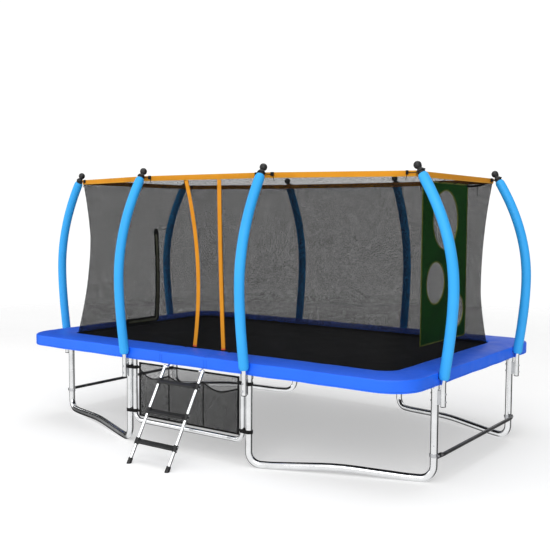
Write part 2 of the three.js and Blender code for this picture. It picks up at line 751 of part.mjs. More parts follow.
/** Target: a hanging sheet with three round holes. */
function targetGeometry() {
  const outline = rectangle(-TARGET.halfY, TARGET.bottomZ, TARGET.halfY, TARGET.topZ);
  for (const { y, z, r } of TARGET_HOLES) {
    const hole = new THREE.Path();
    hole.absarc(y, z, r, 0, 2 * Math.PI);
    outline.holes.push(hole);
  }
  const sheet = new THREE.ExtrudeGeometry(outline, {
    depth: TARGET.thickness,
    bevelEnabled: false,
    curveSegments: 12,
  });
  return sheet.rotateX(Math.PI / 2).rotateZ(Math.PI / 2).translate(TARGET.x, 0, 0);
}
piece('target_panel', targetGeometry(), 'target');

/** Shoe bag: a flat open-topped pocket whose back is taller than its front. */
function bagGeometry() {
  const { halfX, bottomZ, topZ, pocketZ, backY, frontY, wall } = BAG;
  const outside = toSolid(box([-halfX, frontY, bottomZ], [halfX, backY, topZ]));
  const inside = toSolid(box(
    [wall - halfX, frontY + wall, bottomZ + wall],
    [halfX - wall, backY - wall, topZ + 10],
  ));
  const aboveFront = toSolid(box([-halfX - 10, frontY - 10, pocketZ], [halfX + 10, backY - wall, topZ + 10]));
  return toGeometry(outside.subtract(inside).subtract(aboveFront));
}
piece('storage_bag', bagGeometry(), 'bag');

// ---------------------------------------------------------------- ladder

const pivotY = -FRAME_HALF_Y - LADDER_PIVOT_OUT;
const pivotZ = RAIL_Z - LADDER_PIVOT_DOWN;
const ladderPivot = new THREE.Vector3(0, pivotY, pivotZ);
const ladderDown = new THREE.Vector3(0, LADDER_FOOT_Y - pivotY, -pivotZ).normalize();
const ladderAngle = Math.atan2(-ladderDown.y, -ladderDown.z); // lean away from upright

/** Point of a ladder rail's centre line at a height. */
function ladderPoint(x, height) {
  const run = (pivotZ - height) / -ladderDown.z;
  return ladderPivot.clone().addScaledVector(ladderDown, run).setX(x);
}

/** Regular prism along the ladder's rails, between two points. */
function alongLadder(start, end, radius, sides) {
  return sweep([start, end], flatsShape(radius, sides));
}

/** Rail: a tube from just above its pivot down into its foot. */
function ladderRail(x) {
  const top = ladderPivot.clone().setX(x).addScaledVector(ladderDown, -9);
  const bottom = ladderPoint(x, FOOT_CAP.sole + GAP);
  return alongLadder(top, bottom, LADDER_RAIL_R, 12);
}

/** Tread: a level board between two sleeves that grip the rails. */
function ladderTread(height) {
  const board = new THREE.BoxGeometry(2 * LADDER_HALF, TREAD.depth, TREAD.thickness);
  const middle = ladderPoint(LADDER_X, height);
  let tread = toSolid(board.translate(middle.x, middle.y, middle.z));
  for (const x of [LADDER_X - LADDER_HALF, LADDER_X + LADDER_HALF]) {
    const centre = ladderPoint(x, height);
    const reach = (radius, half) => toSolid(alongLadder(
      centre.clone().addScaledVector(ladderDown, -half),
      centre.clone().addScaledVector(ladderDown, half),
      radius,
      12,
    ));
    const half = TREAD.sleeveLength / 2;
    tread = tread.add(reach(TREAD.sleeveR, half)).subtract(reach(LADDER_RAIL_R + GAP, TREAD.depth));
  }
  return toGeometry(tread);
}

/** Foot: a plastic cap over the rail's end, cut level with the ground. */
function ladderFoot(x) {
  const top = ladderPoint(x, 0).addScaledVector(ladderDown, -FOOT_CAP.length);
  const below = ladderPoint(x, -30);
  const cap = toSolid(alongLadder(top, below, FOOT_CAP.r, 12));
  const ground = toSolid(box([x - 100, LADDER_FOOT_Y - 100, -100], [x + 100, LADDER_FOOT_Y + 100, 0]));
  const boreEnd = ladderPoint(x, FOOT_CAP.sole);
  const bore = toSolid(alongLadder(ladderPoint(x, 200), boreEnd, LADDER_RAIL_R + GAP, 12));
  return toGeometry(cap.subtract(ground).subtract(bore));
}

/** Hook: flat bar bent over the frame tube, with a lug at the rail's pivot. */
function hookGeometry() {
  const shape = new THREE.Shape();
  const tip = THREE.MathUtils.degToRad(HOOK.tipAngle);
  shape.absarc(0, 0, HOOK.outerR, tip, 0, true);
  shape.lineTo(HOOK.outerR, -45);
  shape.lineTo(LADDER_PIVOT_OUT - 8, -LADDER_PIVOT_DOWN + HOOK.lugR - 2);
  shape.absarc(LADDER_PIVOT_OUT, -LADDER_PIVOT_DOWN, HOOK.lugR, 0.6 * Math.PI, -0.75 * Math.PI, true);
  shape.lineTo(HOOK.innerR, -56);
  shape.absarc(0, 0, HOOK.innerR, 0, tip, false);
  shape.closePath();
  const bar = new THREE.ExtrudeGeometry(shape, {
    depth: HOOK.width,
    bevelEnabled: false,
    curveSegments: 8,
  });
  return bar.rotateX(Math.PI / 2).rotateZ(-Math.PI / 2).translate(0, -FRAME_HALF_Y, RAIL_Z);
}

const hookInset = LADDER_RAIL_R + 1;
const ladderSides = [
  { name: 'left', x: LADDER_X - LADDER_HALF, hookX: LADDER_X - LADDER_HALF + hookInset + HOOK.width },
  { name: 'right', x: LADDER_X + LADDER_HALF, hookX: LADDER_X + LADDER_HALF - hookInset },
];
for (const { name, x, hookX } of ladderSides) {
  piece(`ladder_hook_${name}`, hookGeometry(), 'steel').position.x = hookX;
  piece(`ladder_rail_${name}`, ladderRail(x), 'steel');
  piece(`ladder_foot_${name}`, ladderFoot(x), 'blackPlastic');
}
for (const [name, height] of Object.entries(LADDER_TREADS)) {
  piece(`ladder_tread_${name}`, ladderTread(height), 'blackPlastic');
}

// ---------------------------------------------------------------- origin

// The ladder stands out at the front, so the frame's centre is behind the footprint's centre.
const footprint = new THREE.Box3().setFromObject(trampoline);
trampoline.position.y = -(footprint.min.y + footprint.max.y) / 2;

export default trampoline;
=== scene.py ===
"""Looks of a rectangular garden trampoline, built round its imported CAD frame.

Metres, +Z up. Plan positions are written about the centre of the steel frame, as in the CAD
source, and at() moves them into the row frame, whose origin is under the whole footprint.
"""

import math

import bmesh
import bpy
import numpy as np
from mathutils import Matrix, Vector, noise
from mathutils.geometry import delaunay_2d_cdt


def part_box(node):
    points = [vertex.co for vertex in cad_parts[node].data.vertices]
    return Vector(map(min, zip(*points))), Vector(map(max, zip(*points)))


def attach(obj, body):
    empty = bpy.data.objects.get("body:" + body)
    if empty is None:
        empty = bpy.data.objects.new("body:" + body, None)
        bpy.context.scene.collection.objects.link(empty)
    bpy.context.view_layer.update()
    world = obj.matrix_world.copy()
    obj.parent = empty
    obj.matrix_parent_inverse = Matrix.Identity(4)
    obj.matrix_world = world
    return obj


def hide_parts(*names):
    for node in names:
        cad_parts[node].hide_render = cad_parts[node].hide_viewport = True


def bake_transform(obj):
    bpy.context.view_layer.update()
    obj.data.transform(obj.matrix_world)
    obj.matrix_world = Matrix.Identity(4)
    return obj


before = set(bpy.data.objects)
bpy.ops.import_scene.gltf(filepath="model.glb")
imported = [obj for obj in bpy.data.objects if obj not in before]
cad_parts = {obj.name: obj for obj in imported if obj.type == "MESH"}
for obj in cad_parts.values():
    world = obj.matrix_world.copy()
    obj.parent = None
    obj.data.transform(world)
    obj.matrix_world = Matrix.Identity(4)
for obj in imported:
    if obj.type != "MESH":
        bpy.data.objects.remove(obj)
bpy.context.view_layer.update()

# ---------------------------------------------------------------- sizes, as in the CAD source

FRAME_X, FRAME_Y, FRAME_R = 2.090, 1.345, 0.240
RAIL_Z, RAIL_R = 0.820, 0.027
LONG_POST_X, SHORT_POST_Y = 0.683, 0.811
RAIL_JOINT = 0.060
SOCKET_R, SOCKET_BOTTOM = 0.036, 0.742
LEG_R, LEG_BEND_R, LEG_TOP, LEG_FLAT, LEG_ARCH = 0.031, 0.105, 0.790, 0.090, 0.034
BRACE_R, BRACE_X, BRACE_Z, BRACE_BEND_R = 0.022, 0.617, 0.215, 0.076
TIE_R, TIE_Z, TIE_REACH = 0.016, 0.220, 0.020
POLE_R, POLE_OFFSET, POLE_BOTTOM, POLE_BEND = 0.022, 0.068, 0.615, 0.790
POLE_BULGE, POLE_BULGE_Z, POLE_TOP_OFFSET, POLE_TOP = 0.137, 1.507, -0.144, 2.411
POLE_STUB = 0.028
CAP_BALL_R, CAP_BALL_AT = 0.032, 0.076
FOAM_R, FOAM_BOTTOM = 0.0425, 0.823
MAT_X, MAT_Y, MAT_R, MAT_TOP = 1.862, 1.100, 0.170, 0.848
PAD_OUT, PAD_IN_X, PAD_IN_Y, PAD_IN_R = 0.0415, 1.832, 1.046, 0.150
PAD_TOP, PAD_THICK, SKIRT_BOTTOM, SKIRT_THICK = 0.885, 0.030, 0.778, 0.004
NET_BOTTOM, NET_TOP, NET_X, NET_Y, NET_R = 0.849, 2.434, 1.826, 1.040, 0.146
NET_INSET, NET_WAIST = 0.196, 0.060
BAND_HEIGHT = 0.046
DOOR_HALF, DOOR_BOTTOM, DOOR_TOP, FLAP_OFFSET = 0.200, 0.889, 2.385, 0.007
ZIP_Y, ZIP_END_Y, ZIP_BOTTOM, ZIP_TOP = 0.205, -0.262, 0.902, 1.888
TARGET_X, TARGET_Y, TARGET_BOTTOM, TARGET_TOP = 1.7865, 0.460, 1.005, 2.366
TARGET_HOLES = [(0.0, 2.050, 0.256), (-0.183, 1.514, 0.181), (0.266, 1.243, 0.150)]
BAG_X, BAG_BOTTOM, BAG_TOP, BAG_BACK = 0.572, 0.254, 0.746, -1.3335
LADDER_X, LADDER_HALF, LADDER_RAIL_R, LADDER_FOOT_Y = 0.020, 0.215, 0.015, -1.850
LADDER_PIVOT_Y, LADDER_PIVOT_Z = -1.405, 0.755
LADDER_TREADS = {"low": 0.170, "middle": 0.404, "top": 0.638}

POSTS = [
    ("left_front", -FRAME_X, -SHORT_POST_Y, (-1, 0)),
    ("front_left", -LONG_POST_X, -FRAME_Y, (0, -1)),
    ("front_right", LONG_POST_X, -FRAME_Y, (0, -1)),
    ("right_front", FRAME_X, -SHORT_POST_Y, (1, 0)),
    ("right_back", FRAME_X, SHORT_POST_Y, (1, 0)),
    ("back_right", LONG_POST_X, FRAME_Y, (0, 1)),
    ("back_left", -LONG_POST_X, FRAME_Y, (0, 1)),
    ("left_back", -FRAME_X, SHORT_POST_Y, (-1, 0)),
]
CORNERS = [
    ("front_left", -1, -1),
    ("front_right", 1, -1),
    ("back_right", 1, 1),
    ("back_left", -1, 1),
]

CENTRE_Y = (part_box("side_rail_front")[0].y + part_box("side_rail_back")[1].y) / 2


def at(x, y, z):
    """Point of the row frame at a place written about the steel frame's centre."""
    return Vector((x, y + CENTRE_Y, z))


# ---------------------------------------------------------------- camera, light and floor

CAMERA_PLACE = at(4.842, -6.823, 2.068)
CAMERA_YAW, CAMERA_PITCH, CAMERA_ROLL = map(math.radians, (-35.48, 3.93, 0.347))
CAMERA_VIEW = math.radians(36.0)


def make_camera():
    """Camera at the photograph's viewing angle."""
    level = math.cos(CAMERA_PITCH)
    ahead = Vector((
        math.sin(CAMERA_YAW) * level,
        math.cos(CAMERA_YAW) * level,
        -math.sin(CAMERA_PITCH),
    ))
    right = ahead.cross(Vector((0, 0, 1))).normalized()
    up = right.cross(ahead)
    turn = Matrix.Rotation(-CAMERA_ROLL, 3, ahead)
    axes = [turn @ right, turn @ up, -ahead]
    data = bpy.data.cameras.new("camera")
    data.sensor_width = 36.0
    data.lens = data.sensor_width / 2 / math.tan(CAMERA_VIEW / 2)
    data.clip_end = 200
    camera = bpy.data.objects.new("camera", data)
    camera.matrix_world = Matrix.Translation(CAMERA_PLACE) @ Matrix(axes).transposed().to_4x4()
    bpy.context.scene.collection.objects.link(camera)
    bpy.context.scene.camera = camera


def make_light(name, place, size, power, aim=(0, 0, 1.0)):
    """Soft square lamp that looks at a point."""
    data = bpy.data.lights.new(name, "AREA")
    data.size, data.energy = size, power
    lamp = bpy.data.objects.new(name, data)
    lamp.location = place
    lamp.rotation_mode = "QUATERNION"
    lamp.rotation_quaternion = (Vector(aim) - Vector(place)).to_track_quat("-Z", "Y")
    bpy.context.scene.collection.objects.link(lamp)


LIT_SIDE = math.radians(-78)  # azimuth of the studio's bright half
# grey from the point opposite the bright half round to its middle: it makes the streaks on steel
LIT_RAMP = (
    (0.0, 0.75), (0.06, 0.40), (0.10, 0.03), (0.34, 0.02),
    (0.44, 0.25), (0.56, 0.50), (0.62, 1.0), (1.0, 1.05),
)


def make_world():
    """White backdrop, lit by a bright half and a dark half so that the steel shows streaks."""
    world = bpy.data.worlds.new("studio")
    bpy.context.scene.world = world
    world.use_nodes = True
    nodes, links = world.node_tree.nodes, world.node_tree.links
    nodes.clear()

    def wire(kind, inputs, output=0, **settings):
        """Adds one node of the given kind and sets its inputs."""
        made = nodes.new("ShaderNode" + kind)
        for key, value in settings.items():
            setattr(made, key, value)
        for key, value in inputs.items():
            if isinstance(value, bpy.types.NodeSocket):
                links.new(value, made.inputs[key])
            else:
                made.inputs[key].default_value = value
        return made.outputs[output]

    direction = wire("TexCoord", {}, "Generated")
    toward = wire("VectorMath", {0: direction, 1: (1, 1, 0)}, operation="MULTIPLY")
    level = wire("VectorMath", {0: toward}, operation="NORMALIZE")
    bright = (math.cos(LIT_SIDE), math.sin(LIT_SIDE), 0)
    facing = wire("VectorMath", {0: level, 1: bright}, "Value", operation="DOT_PRODUCT")
    share = wire("MapRange", {"Value": facing, "From Min": -1.0})
    ramp = nodes.new("ShaderNodeValToRGB")
    links.new(share, ramp.inputs[0])
    stops = ramp.color_ramp.elements
    for place, grey in LIT_RAMP[1:-1]:
        stops.new(place).color = (grey, grey, grey, 1)
    for stop, (place, grey) in ((stops[0], LIT_RAMP[0]), (stops[-1], LIT_RAMP[-1])):
        stop.position, stop.color = place, (grey, grey, grey, 1)
    height = wire("SeparateXYZ", {0: direction}, "Z")
    steep = wire("Math", {0: height}, operation="ABSOLUTE")
    ends = wire("MapRange", {"Value": steep, "From Min": 0.72, "From Max": 0.92})
    tone = wire("MixRGB", {"Fac": ends, "Color1": ramp.outputs[0], "Color2": (0.9, 0.9, 0.9, 1)})
    lit = wire("Background", {"Color": tone, "Strength": 0.92})
    seen = wire("Background", {"Color": (1, 1, 1, 1), "Strength": 1.05})
    camera_ray = wire("LightPath", {}, "Is Camera Ray")
    both = wire("MixShader", {0: camera_ray, 1: lit, 2: seen})
    links.new(both, nodes.new("ShaderNodeOutputWorld").inputs["Surface"])


make_camera()
make_world()
bpy.context.scene.view_settings.view_transform = "Standard"
make_light("key", (5.0, -10.0, 7.0), 6.0, 420)
make_light("fill", (-8.0, -5.0, 5.0), 6.0, 130)
make_light("top", (0.0, 0.5, 9.0), 7.0, 230)

# ---------------------------------------------------------------- materials

CLOTH_UV = "cloth"  # face coordinates in metres, for weaves and meshes


class Shade:
    """A procedural material in the making: one Principled shader and the nodes that feed it."""

    def __init__(self, name, **values):
        self.material = bpy.data.materials.new(name)
        self.material.use_nodes = True
        self.tree = self.material.node_tree
        self.shader = self.tree.nodes["Principled BSDF"]
        for label, value in values.items():
            self.put(label.replace("_", " "), value)

    def feed(self, socket, value):
        """Sets a socket to a value, or links another socket to it."""
        if isinstance(value, bpy.types.NodeSocket):
            self.tree.links.new(value, socket)
        else:
            socket.default_value = value

    def put(self, label, value):
        """Feeds an input of the shader; a colour may come without alpha."""
        if label.endswith("Color") and not isinstance(value, bpy.types.NodeSocket):
            value = (*value, 1.0)
        self.feed(self.shader.inputs[label], value)

    def node(self, kind, inputs=None, output=0, **settings):
        """Adds a shader node and gives back one of its outputs."""
        made = self.tree.nodes.new("ShaderNode" + kind)
        for key, value in settings.items():
            setattr(made, key, value)
        for key, value in (inputs or {}).items():
            self.feed(made.inputs[key], value)
        return made.outputs[output]

    def place(self):
        """Place on the piece, in its own axes."""
        return self.node("TexCoord", output="Object")

    def cloth(self):
        """Place on the cloth, from its UV map."""
        return self.node("UVMap", uv_map=CLOTH_UV)

    def noise(self, scale, detail=3.0, vector=None, stretch=None):
        """Soft noise, over the place on the piece unless told otherwise."""
        vector = vector or self.place()
        if stretch:
            vector = self.node("Mapping", {"Vector": vector, "Scale": stretch})
        return self.node("TexNoise", {"Vector": vector, "Scale": scale, "Detail": detail})

    def math(self, operation, a, b=0.0):
        """A math node on two values or sockets."""
        return self.node("Math", {0: a, 1: b}, operation=operation)

    def spread(self, value, low, high, from_low=0.3, from_high=0.7):
        """Maps from_low..from_high to low..high."""
        inputs = {"Value": value, "From Min": from_low, "From Max": from_high}
        return self.node("MapRange", {**inputs, "To Min": low, "To Max": high})

    def blend(self, share, a, b):
        """Mixes two colours by share."""
        colours = [c if isinstance(c, bpy.types.NodeSocket) else (*c, 1.0) for c in (a, b)]
        return self.node("MixRGB", {"Fac": share, "Color1": colours[0], "Color2": colours[1]})

    def bump(self, height, distance, strength=1.0):
        """Makes the light see the surface raised by height."""
        inputs = {"Height": height, "Distance": distance, "Strength": strength}
        self.put("Normal", self.node("Bump", inputs))

    def waves(self, pitch, vector=None, diagonal=False):
        """Sines of the two cloth directions, or of its two diagonals, at a pitch in metres."""
        parts = self.tree.nodes.new("ShaderNodeSeparateXYZ")
        self.feed(parts.inputs[0], vector or self.cloth())
        u, v = parts.outputs["X"], parts.outputs["Y"]
        if diagonal:
            u, v = self.math("ADD", u, v), self.math("SUBTRACT", u, v)
        turn = math.pi / pitch
        return [self.math("SINE", self.math("MULTIPLY", part, turn)) for part in (u, v)]

    def weave(self, pitch):
        """Threads that cross, along both directions of the cloth."""
        across, along = self.waves(pitch)
        return self.math("MULTIPLY", across, along)


def steel_shade(name, dark, light, rough):
    """Bright plated tube: a cloudy tone, a fine grain and a faint bloom."""
    shade = Shade(name, Metallic=1.0)
    cloud = shade.noise(9.0, 4.0)
    grain = shade.noise(260.0, 2.0)
    shade.put("Base Color", shade.blend(shade.spread(cloud, 0, 1), dark, light))
    both = shade.math("ADD", shade.spread(cloud, 0.0, 0.08), shade.spread(grain, 0.0, 0.05))
    shade.put("Roughness", shade.math("ADD", both, rough))
    shade.bump(grain, 0.0002, 0.25)
    return shade.material


def plastic_shade(name, colour, rough):
    """Moulded black plastic with a fine grain and scuffs."""
    shade = Shade(name)
    grain = shade.noise(900.0, 2.0)
    scuff = shade.noise(14.0, 5.0)
    worn = tuple(min(1.0, c * 2.2 + 0.006) for c in colour)
    shade.put("Base Color", shade.blend(shade.spread(scuff, 0, 1, 0.45, 0.75), colour, worn))
    shade.put("Roughness", shade.spread(scuff, rough - 0.05, rough + 0.12))
    shade.bump(grain, 0.0003, 0.5)
    return shade.material


def woven_shade(name, dark, light, pitch, rough=0.75, sheen=0.2, relief=0.0006, strength=0.7):
    """Cloth or webbing: an over-and-under weave, with uneven dye."""
    shade = Shade(name, Sheen_Weight=sheen, Sheen_Roughness=0.5, Specular_IOR_Level=0.2)
    weave = shade.weave(pitch)
    cloud = shade.noise(5.0, 5.0)
    mixed = shade.math("ADD", shade.spread(weave, 0.0, 0.5, -1, 1), shade.spread(cloud, 0.0, 0.5))
    shade.put("Base Color", shade.blend(mixed, dark, light))
    shade.put("Roughness", shade.spread(cloud, rough - 0.06, rough + 0.08))
    shade.bump(weave, relief, strength)
    return shade.material


def coated_shade(name, dark, light, rough=0.38):
    """Coated cloth of the pad and of the foam sleeves: fine emboss, slack creases and a sheen."""
    shade = Shade(name, Specular_IOR_Level=0.3)
    emboss = shade.noise(700.0, 2.0)
    crease = shade.noise(7.0, 6.0)
    cloud = shade.noise(1.6, 4.0)
    shade.put("Base Color", shade.blend(shade.spread(cloud, 0, 1), dark, light))
    shade.put("Roughness", shade.spread(crease, rough - 0.06, rough + 0.14))
    height = shade.math("ADD", shade.math("MULTIPLY", emboss, 0.10), crease)
    shade.bump(height, 0.004, 0.35)
    return shade.material


def mesh_shade(name, dark, light, pitch, thread, wander=0.004):
    """Knitted mesh: diamond holes between matt threads, whose rows wander a little."""
    shade = Shade(name, Roughness=0.9, Specular_IOR_Level=0.05)
    drift = shade.node("TexNoise", {"Vector": shade.cloth(), "Scale": 38.0, "Detail": 2.0}, "Color")
    pull = shade.node("VectorMath", {0: drift, 1: (0.5, 0.5, 0.5)}, operation="SUBTRACT")
    far = shade.node("VectorMath", {0: pull, "Scale": wander * 6}, operation="SCALE")
    place = shade.node("VectorMath", {0: shade.cloth(), 1: far}, operation="ADD")
    across, along = (shade.math("ABSOLUTE", w) for w in shade.waves(pitch, place, diagonal=True))
    holes = [shade.spread(w, 0.0, 1.0, thread - 0.16, thread + 0.16) for w in (across, along)]
    hole = shade.math("MULTIPLY", *holes)
    shade.put("Alpha", shade.math("SUBTRACT", 1.0, hole))
    cloud = shade.noise(2.2, 5.0)
    shade.put("Base Color", shade.blend(shade.spread(cloud, 0, 1), dark, light))
    return shade.material


STEEL = steel_shade("bright_steel", (0.78, 0.79, 0.80), (0.92, 0.93, 0.94), 0.07)
GREY_STEEL = steel_shade("grey_steel", (0.13, 0.13, 0.135), (0.24, 0.24, 0.25), 0.26)
ZINC = steel_shade("zinc_fittings", (0.50, 0.51, 0.53), (0.66, 0.67, 0.69), 0.24)
SPRING_STEEL = steel_shade("spring_steel", (0.55, 0.56, 0.58), (0.72, 0.73, 0.75), 0.20)
PLASTIC = plastic_shade("black_plastic", (0.0045, 0.0045, 0.005), 0.42)
TREAD_PLASTIC = plastic_shade("tread_plastic", (0.006, 0.006, 0.0065), 0.50)
FOAM = coated_shade("foam_cover", (0.026, 0.345, 0.78), (0.036, 0.405, 0.90), 0.45)
FOAM_CORE = plastic_shade("foam_core", (0.06, 0.22, 0.42), 0.80)
# painted shade and light: the pad's top and skirt are one cloth given as two copies; the top's darker
# copy is painted shade, the skirt's brighter copy painted light
PAD_CLOTH_SHADED_TOP = coated_shade("pad_cloth_painted_shade_top", (0.014, 0.100, 0.66), (0.019, 0.120, 0.76), 0.44)
PAD_CLOTH_LIT_SKIRT = coated_shade("pad_cloth_painted_light_skirt", (0.011, 0.130, 0.84), (0.015, 0.155, 0.94), 0.44)
PAD_BACKING = coated_shade("pad_backing", (0.006, 0.008, 0.016), (0.010, 0.014, 0.026), 0.6)
MAT = woven_shade("mat_weave", (0.004, 0.004, 0.004), (0.009, 0.009, 0.009), 0.0042, 0.72, 0.0)
MAT_HEM = woven_shade("mat_hem", (0.005, 0.005, 0.005), (0.012, 0.012, 0.013), 0.0030, 0.75, 0.03)
BINDING = woven_shade("black_binding", (0.004, 0.004, 0.004), (0.010, 0.010, 0.011),
                      0.0025, 0.85, 0.03)
ORANGE = woven_shade("orange_webbing", (0.61, 0.230, 0.010), (0.76, 0.31, 0.018), 0.0030, 0.75, 0.0)
RED_TAB = woven_shade("red_tab", (0.50, 0.05, 0.02), (0.66, 0.09, 0.03), 0.0030, 0.7)
TARGET = woven_shade("target_cloth", (0.022, 0.20, 0.020), (0.030, 0.27, 0.028), 0.0032, 0.75, 0.0)
LIME = woven_shade("lime_trim", (0.33, 0.42, 0.03), (0.45, 0.55, 0.05), 0.0025, 0.65)
THREAD = woven_shade("pale_thread", (0.20, 0.20, 0.20), (0.30, 0.30, 0.29), 0.0012, 0.8, 0.0)
BLUE_THREAD = woven_shade("blue_thread", (0.010, 0.07, 0.45), (0.016, 0.10, 0.60), 0.0012, 0.8, 0.0)
ZIP_CHAIN = woven_shade("zip_chain", (0.15, 0.16, 0.09), (0.25, 0.26, 0.16), 0.0030, 0.5, 0.0)
NET = mesh_shade("net_mesh", (0.003, 0.003, 0.003), (0.007, 0.007, 0.007), 0.0060, 0.605)
DOOR_NET = mesh_shade("door_net_mesh", (0.003, 0.003, 0.003), (0.007, 0.007, 0.007), 0.0060, 0.385)
BAG_MESH = mesh_shade("bag_mesh", (0.010, 0.010, 0.010), (0.020, 0.020, 0.020), 0.0050, 0.58)


FLOOR_CLEAR, FLOOR_GONE = 7.0, 15.0  # the floor fades into the backdrop between these radii


def floor_shade():
    """A pale floor with a little light of its own and a faint cloud in it."""
    shade = Shade("pale_floor", Roughness=0.95, Specular_IOR_Level=0.1, Emission_Strength=0.42)
    shade.put("Emission Color", (1.0, 1.0, 1.0))
    cloud = shade.noise(0.35, 2.0)
    shade.put("Base Color", shade.blend(shade.spread(cloud, 0, 1), (0.62,) * 3, (0.66,) * 3))
    reach = shade.node("VectorMath", {0: shade.place()}, "Value", operation="LENGTH")
    shade.put("Alpha", shade.spread(reach, 1.0, 0.0, FLOOR_CLEAR, FLOOR_GONE))
    return shade.material


# ---------------------------------------------------------------- mesh making


def unit(vectors):
    """Vectors of length 1 along the given ones."""
    vectors = np.asarray(vectors, float)
    return vectors / np.linalg.norm(vectors, axis=-1, keepdims=True)


def lengths(points):
    """Distance along a row of points."""
    steps = np.linalg.norm(np.diff(points, axis=0), axis=1)
    return np.concatenate([[0.0], np.cumsum(steps)])


def bar(width, thick):
    """Rectangular section, as (side, up) offsets."""
    half_w, half_t = width / 2, thick / 2
    return [(-half_w, -half_t), (half_w, -half_t), (half_w, half_t), (-half_w, half_t)]


def circle(radius, sides):
    """Points round a circle, as a section for a sweep."""
    turn = np.arange(sides) * 2 * math.pi / sides
    return np.stack([radius * np.cos(turn), radius * np.sin(turn)], 1)


def rounded_path(corners, radii, step=math.radians(9)):
    """Polyline whose inner corners are rounded to the radii given for them."""
    corners = [np.asarray(c, float) for c in corners]
    path = [corners[0]]
    for before, corner, after, radius in zip(corners, corners[1:], corners[2:], radii):
        back, on = unit(before - corner), unit(after - corner)
        half = math.acos(float(np.clip(back @ on, -1, 1))) / 2
        middle = corner + unit(back + on) * radius / math.sin(half)
        start = corner + back * radius / math.tan(half)
        arm = start - middle
        turn = math.pi - 2 * half
        count = max(3, round(turn / step))
        for i in range(count + 1):
            angle = turn * i / count
            path.append(middle + arm * math.cos(angle) - back * radius * math.sin(angle))
    path.append(corners[-1])
    return np.array(path)


def resampled(points, step):
    """The same line with points at even steps."""
    run = lengths(points)
    count = max(2, round(run[-1] / step) + 1)
    places = np.linspace(0, run[-1], count)
    return np.stack([np.interp(places, run, points[:, k]) for k in range(3)], 1)


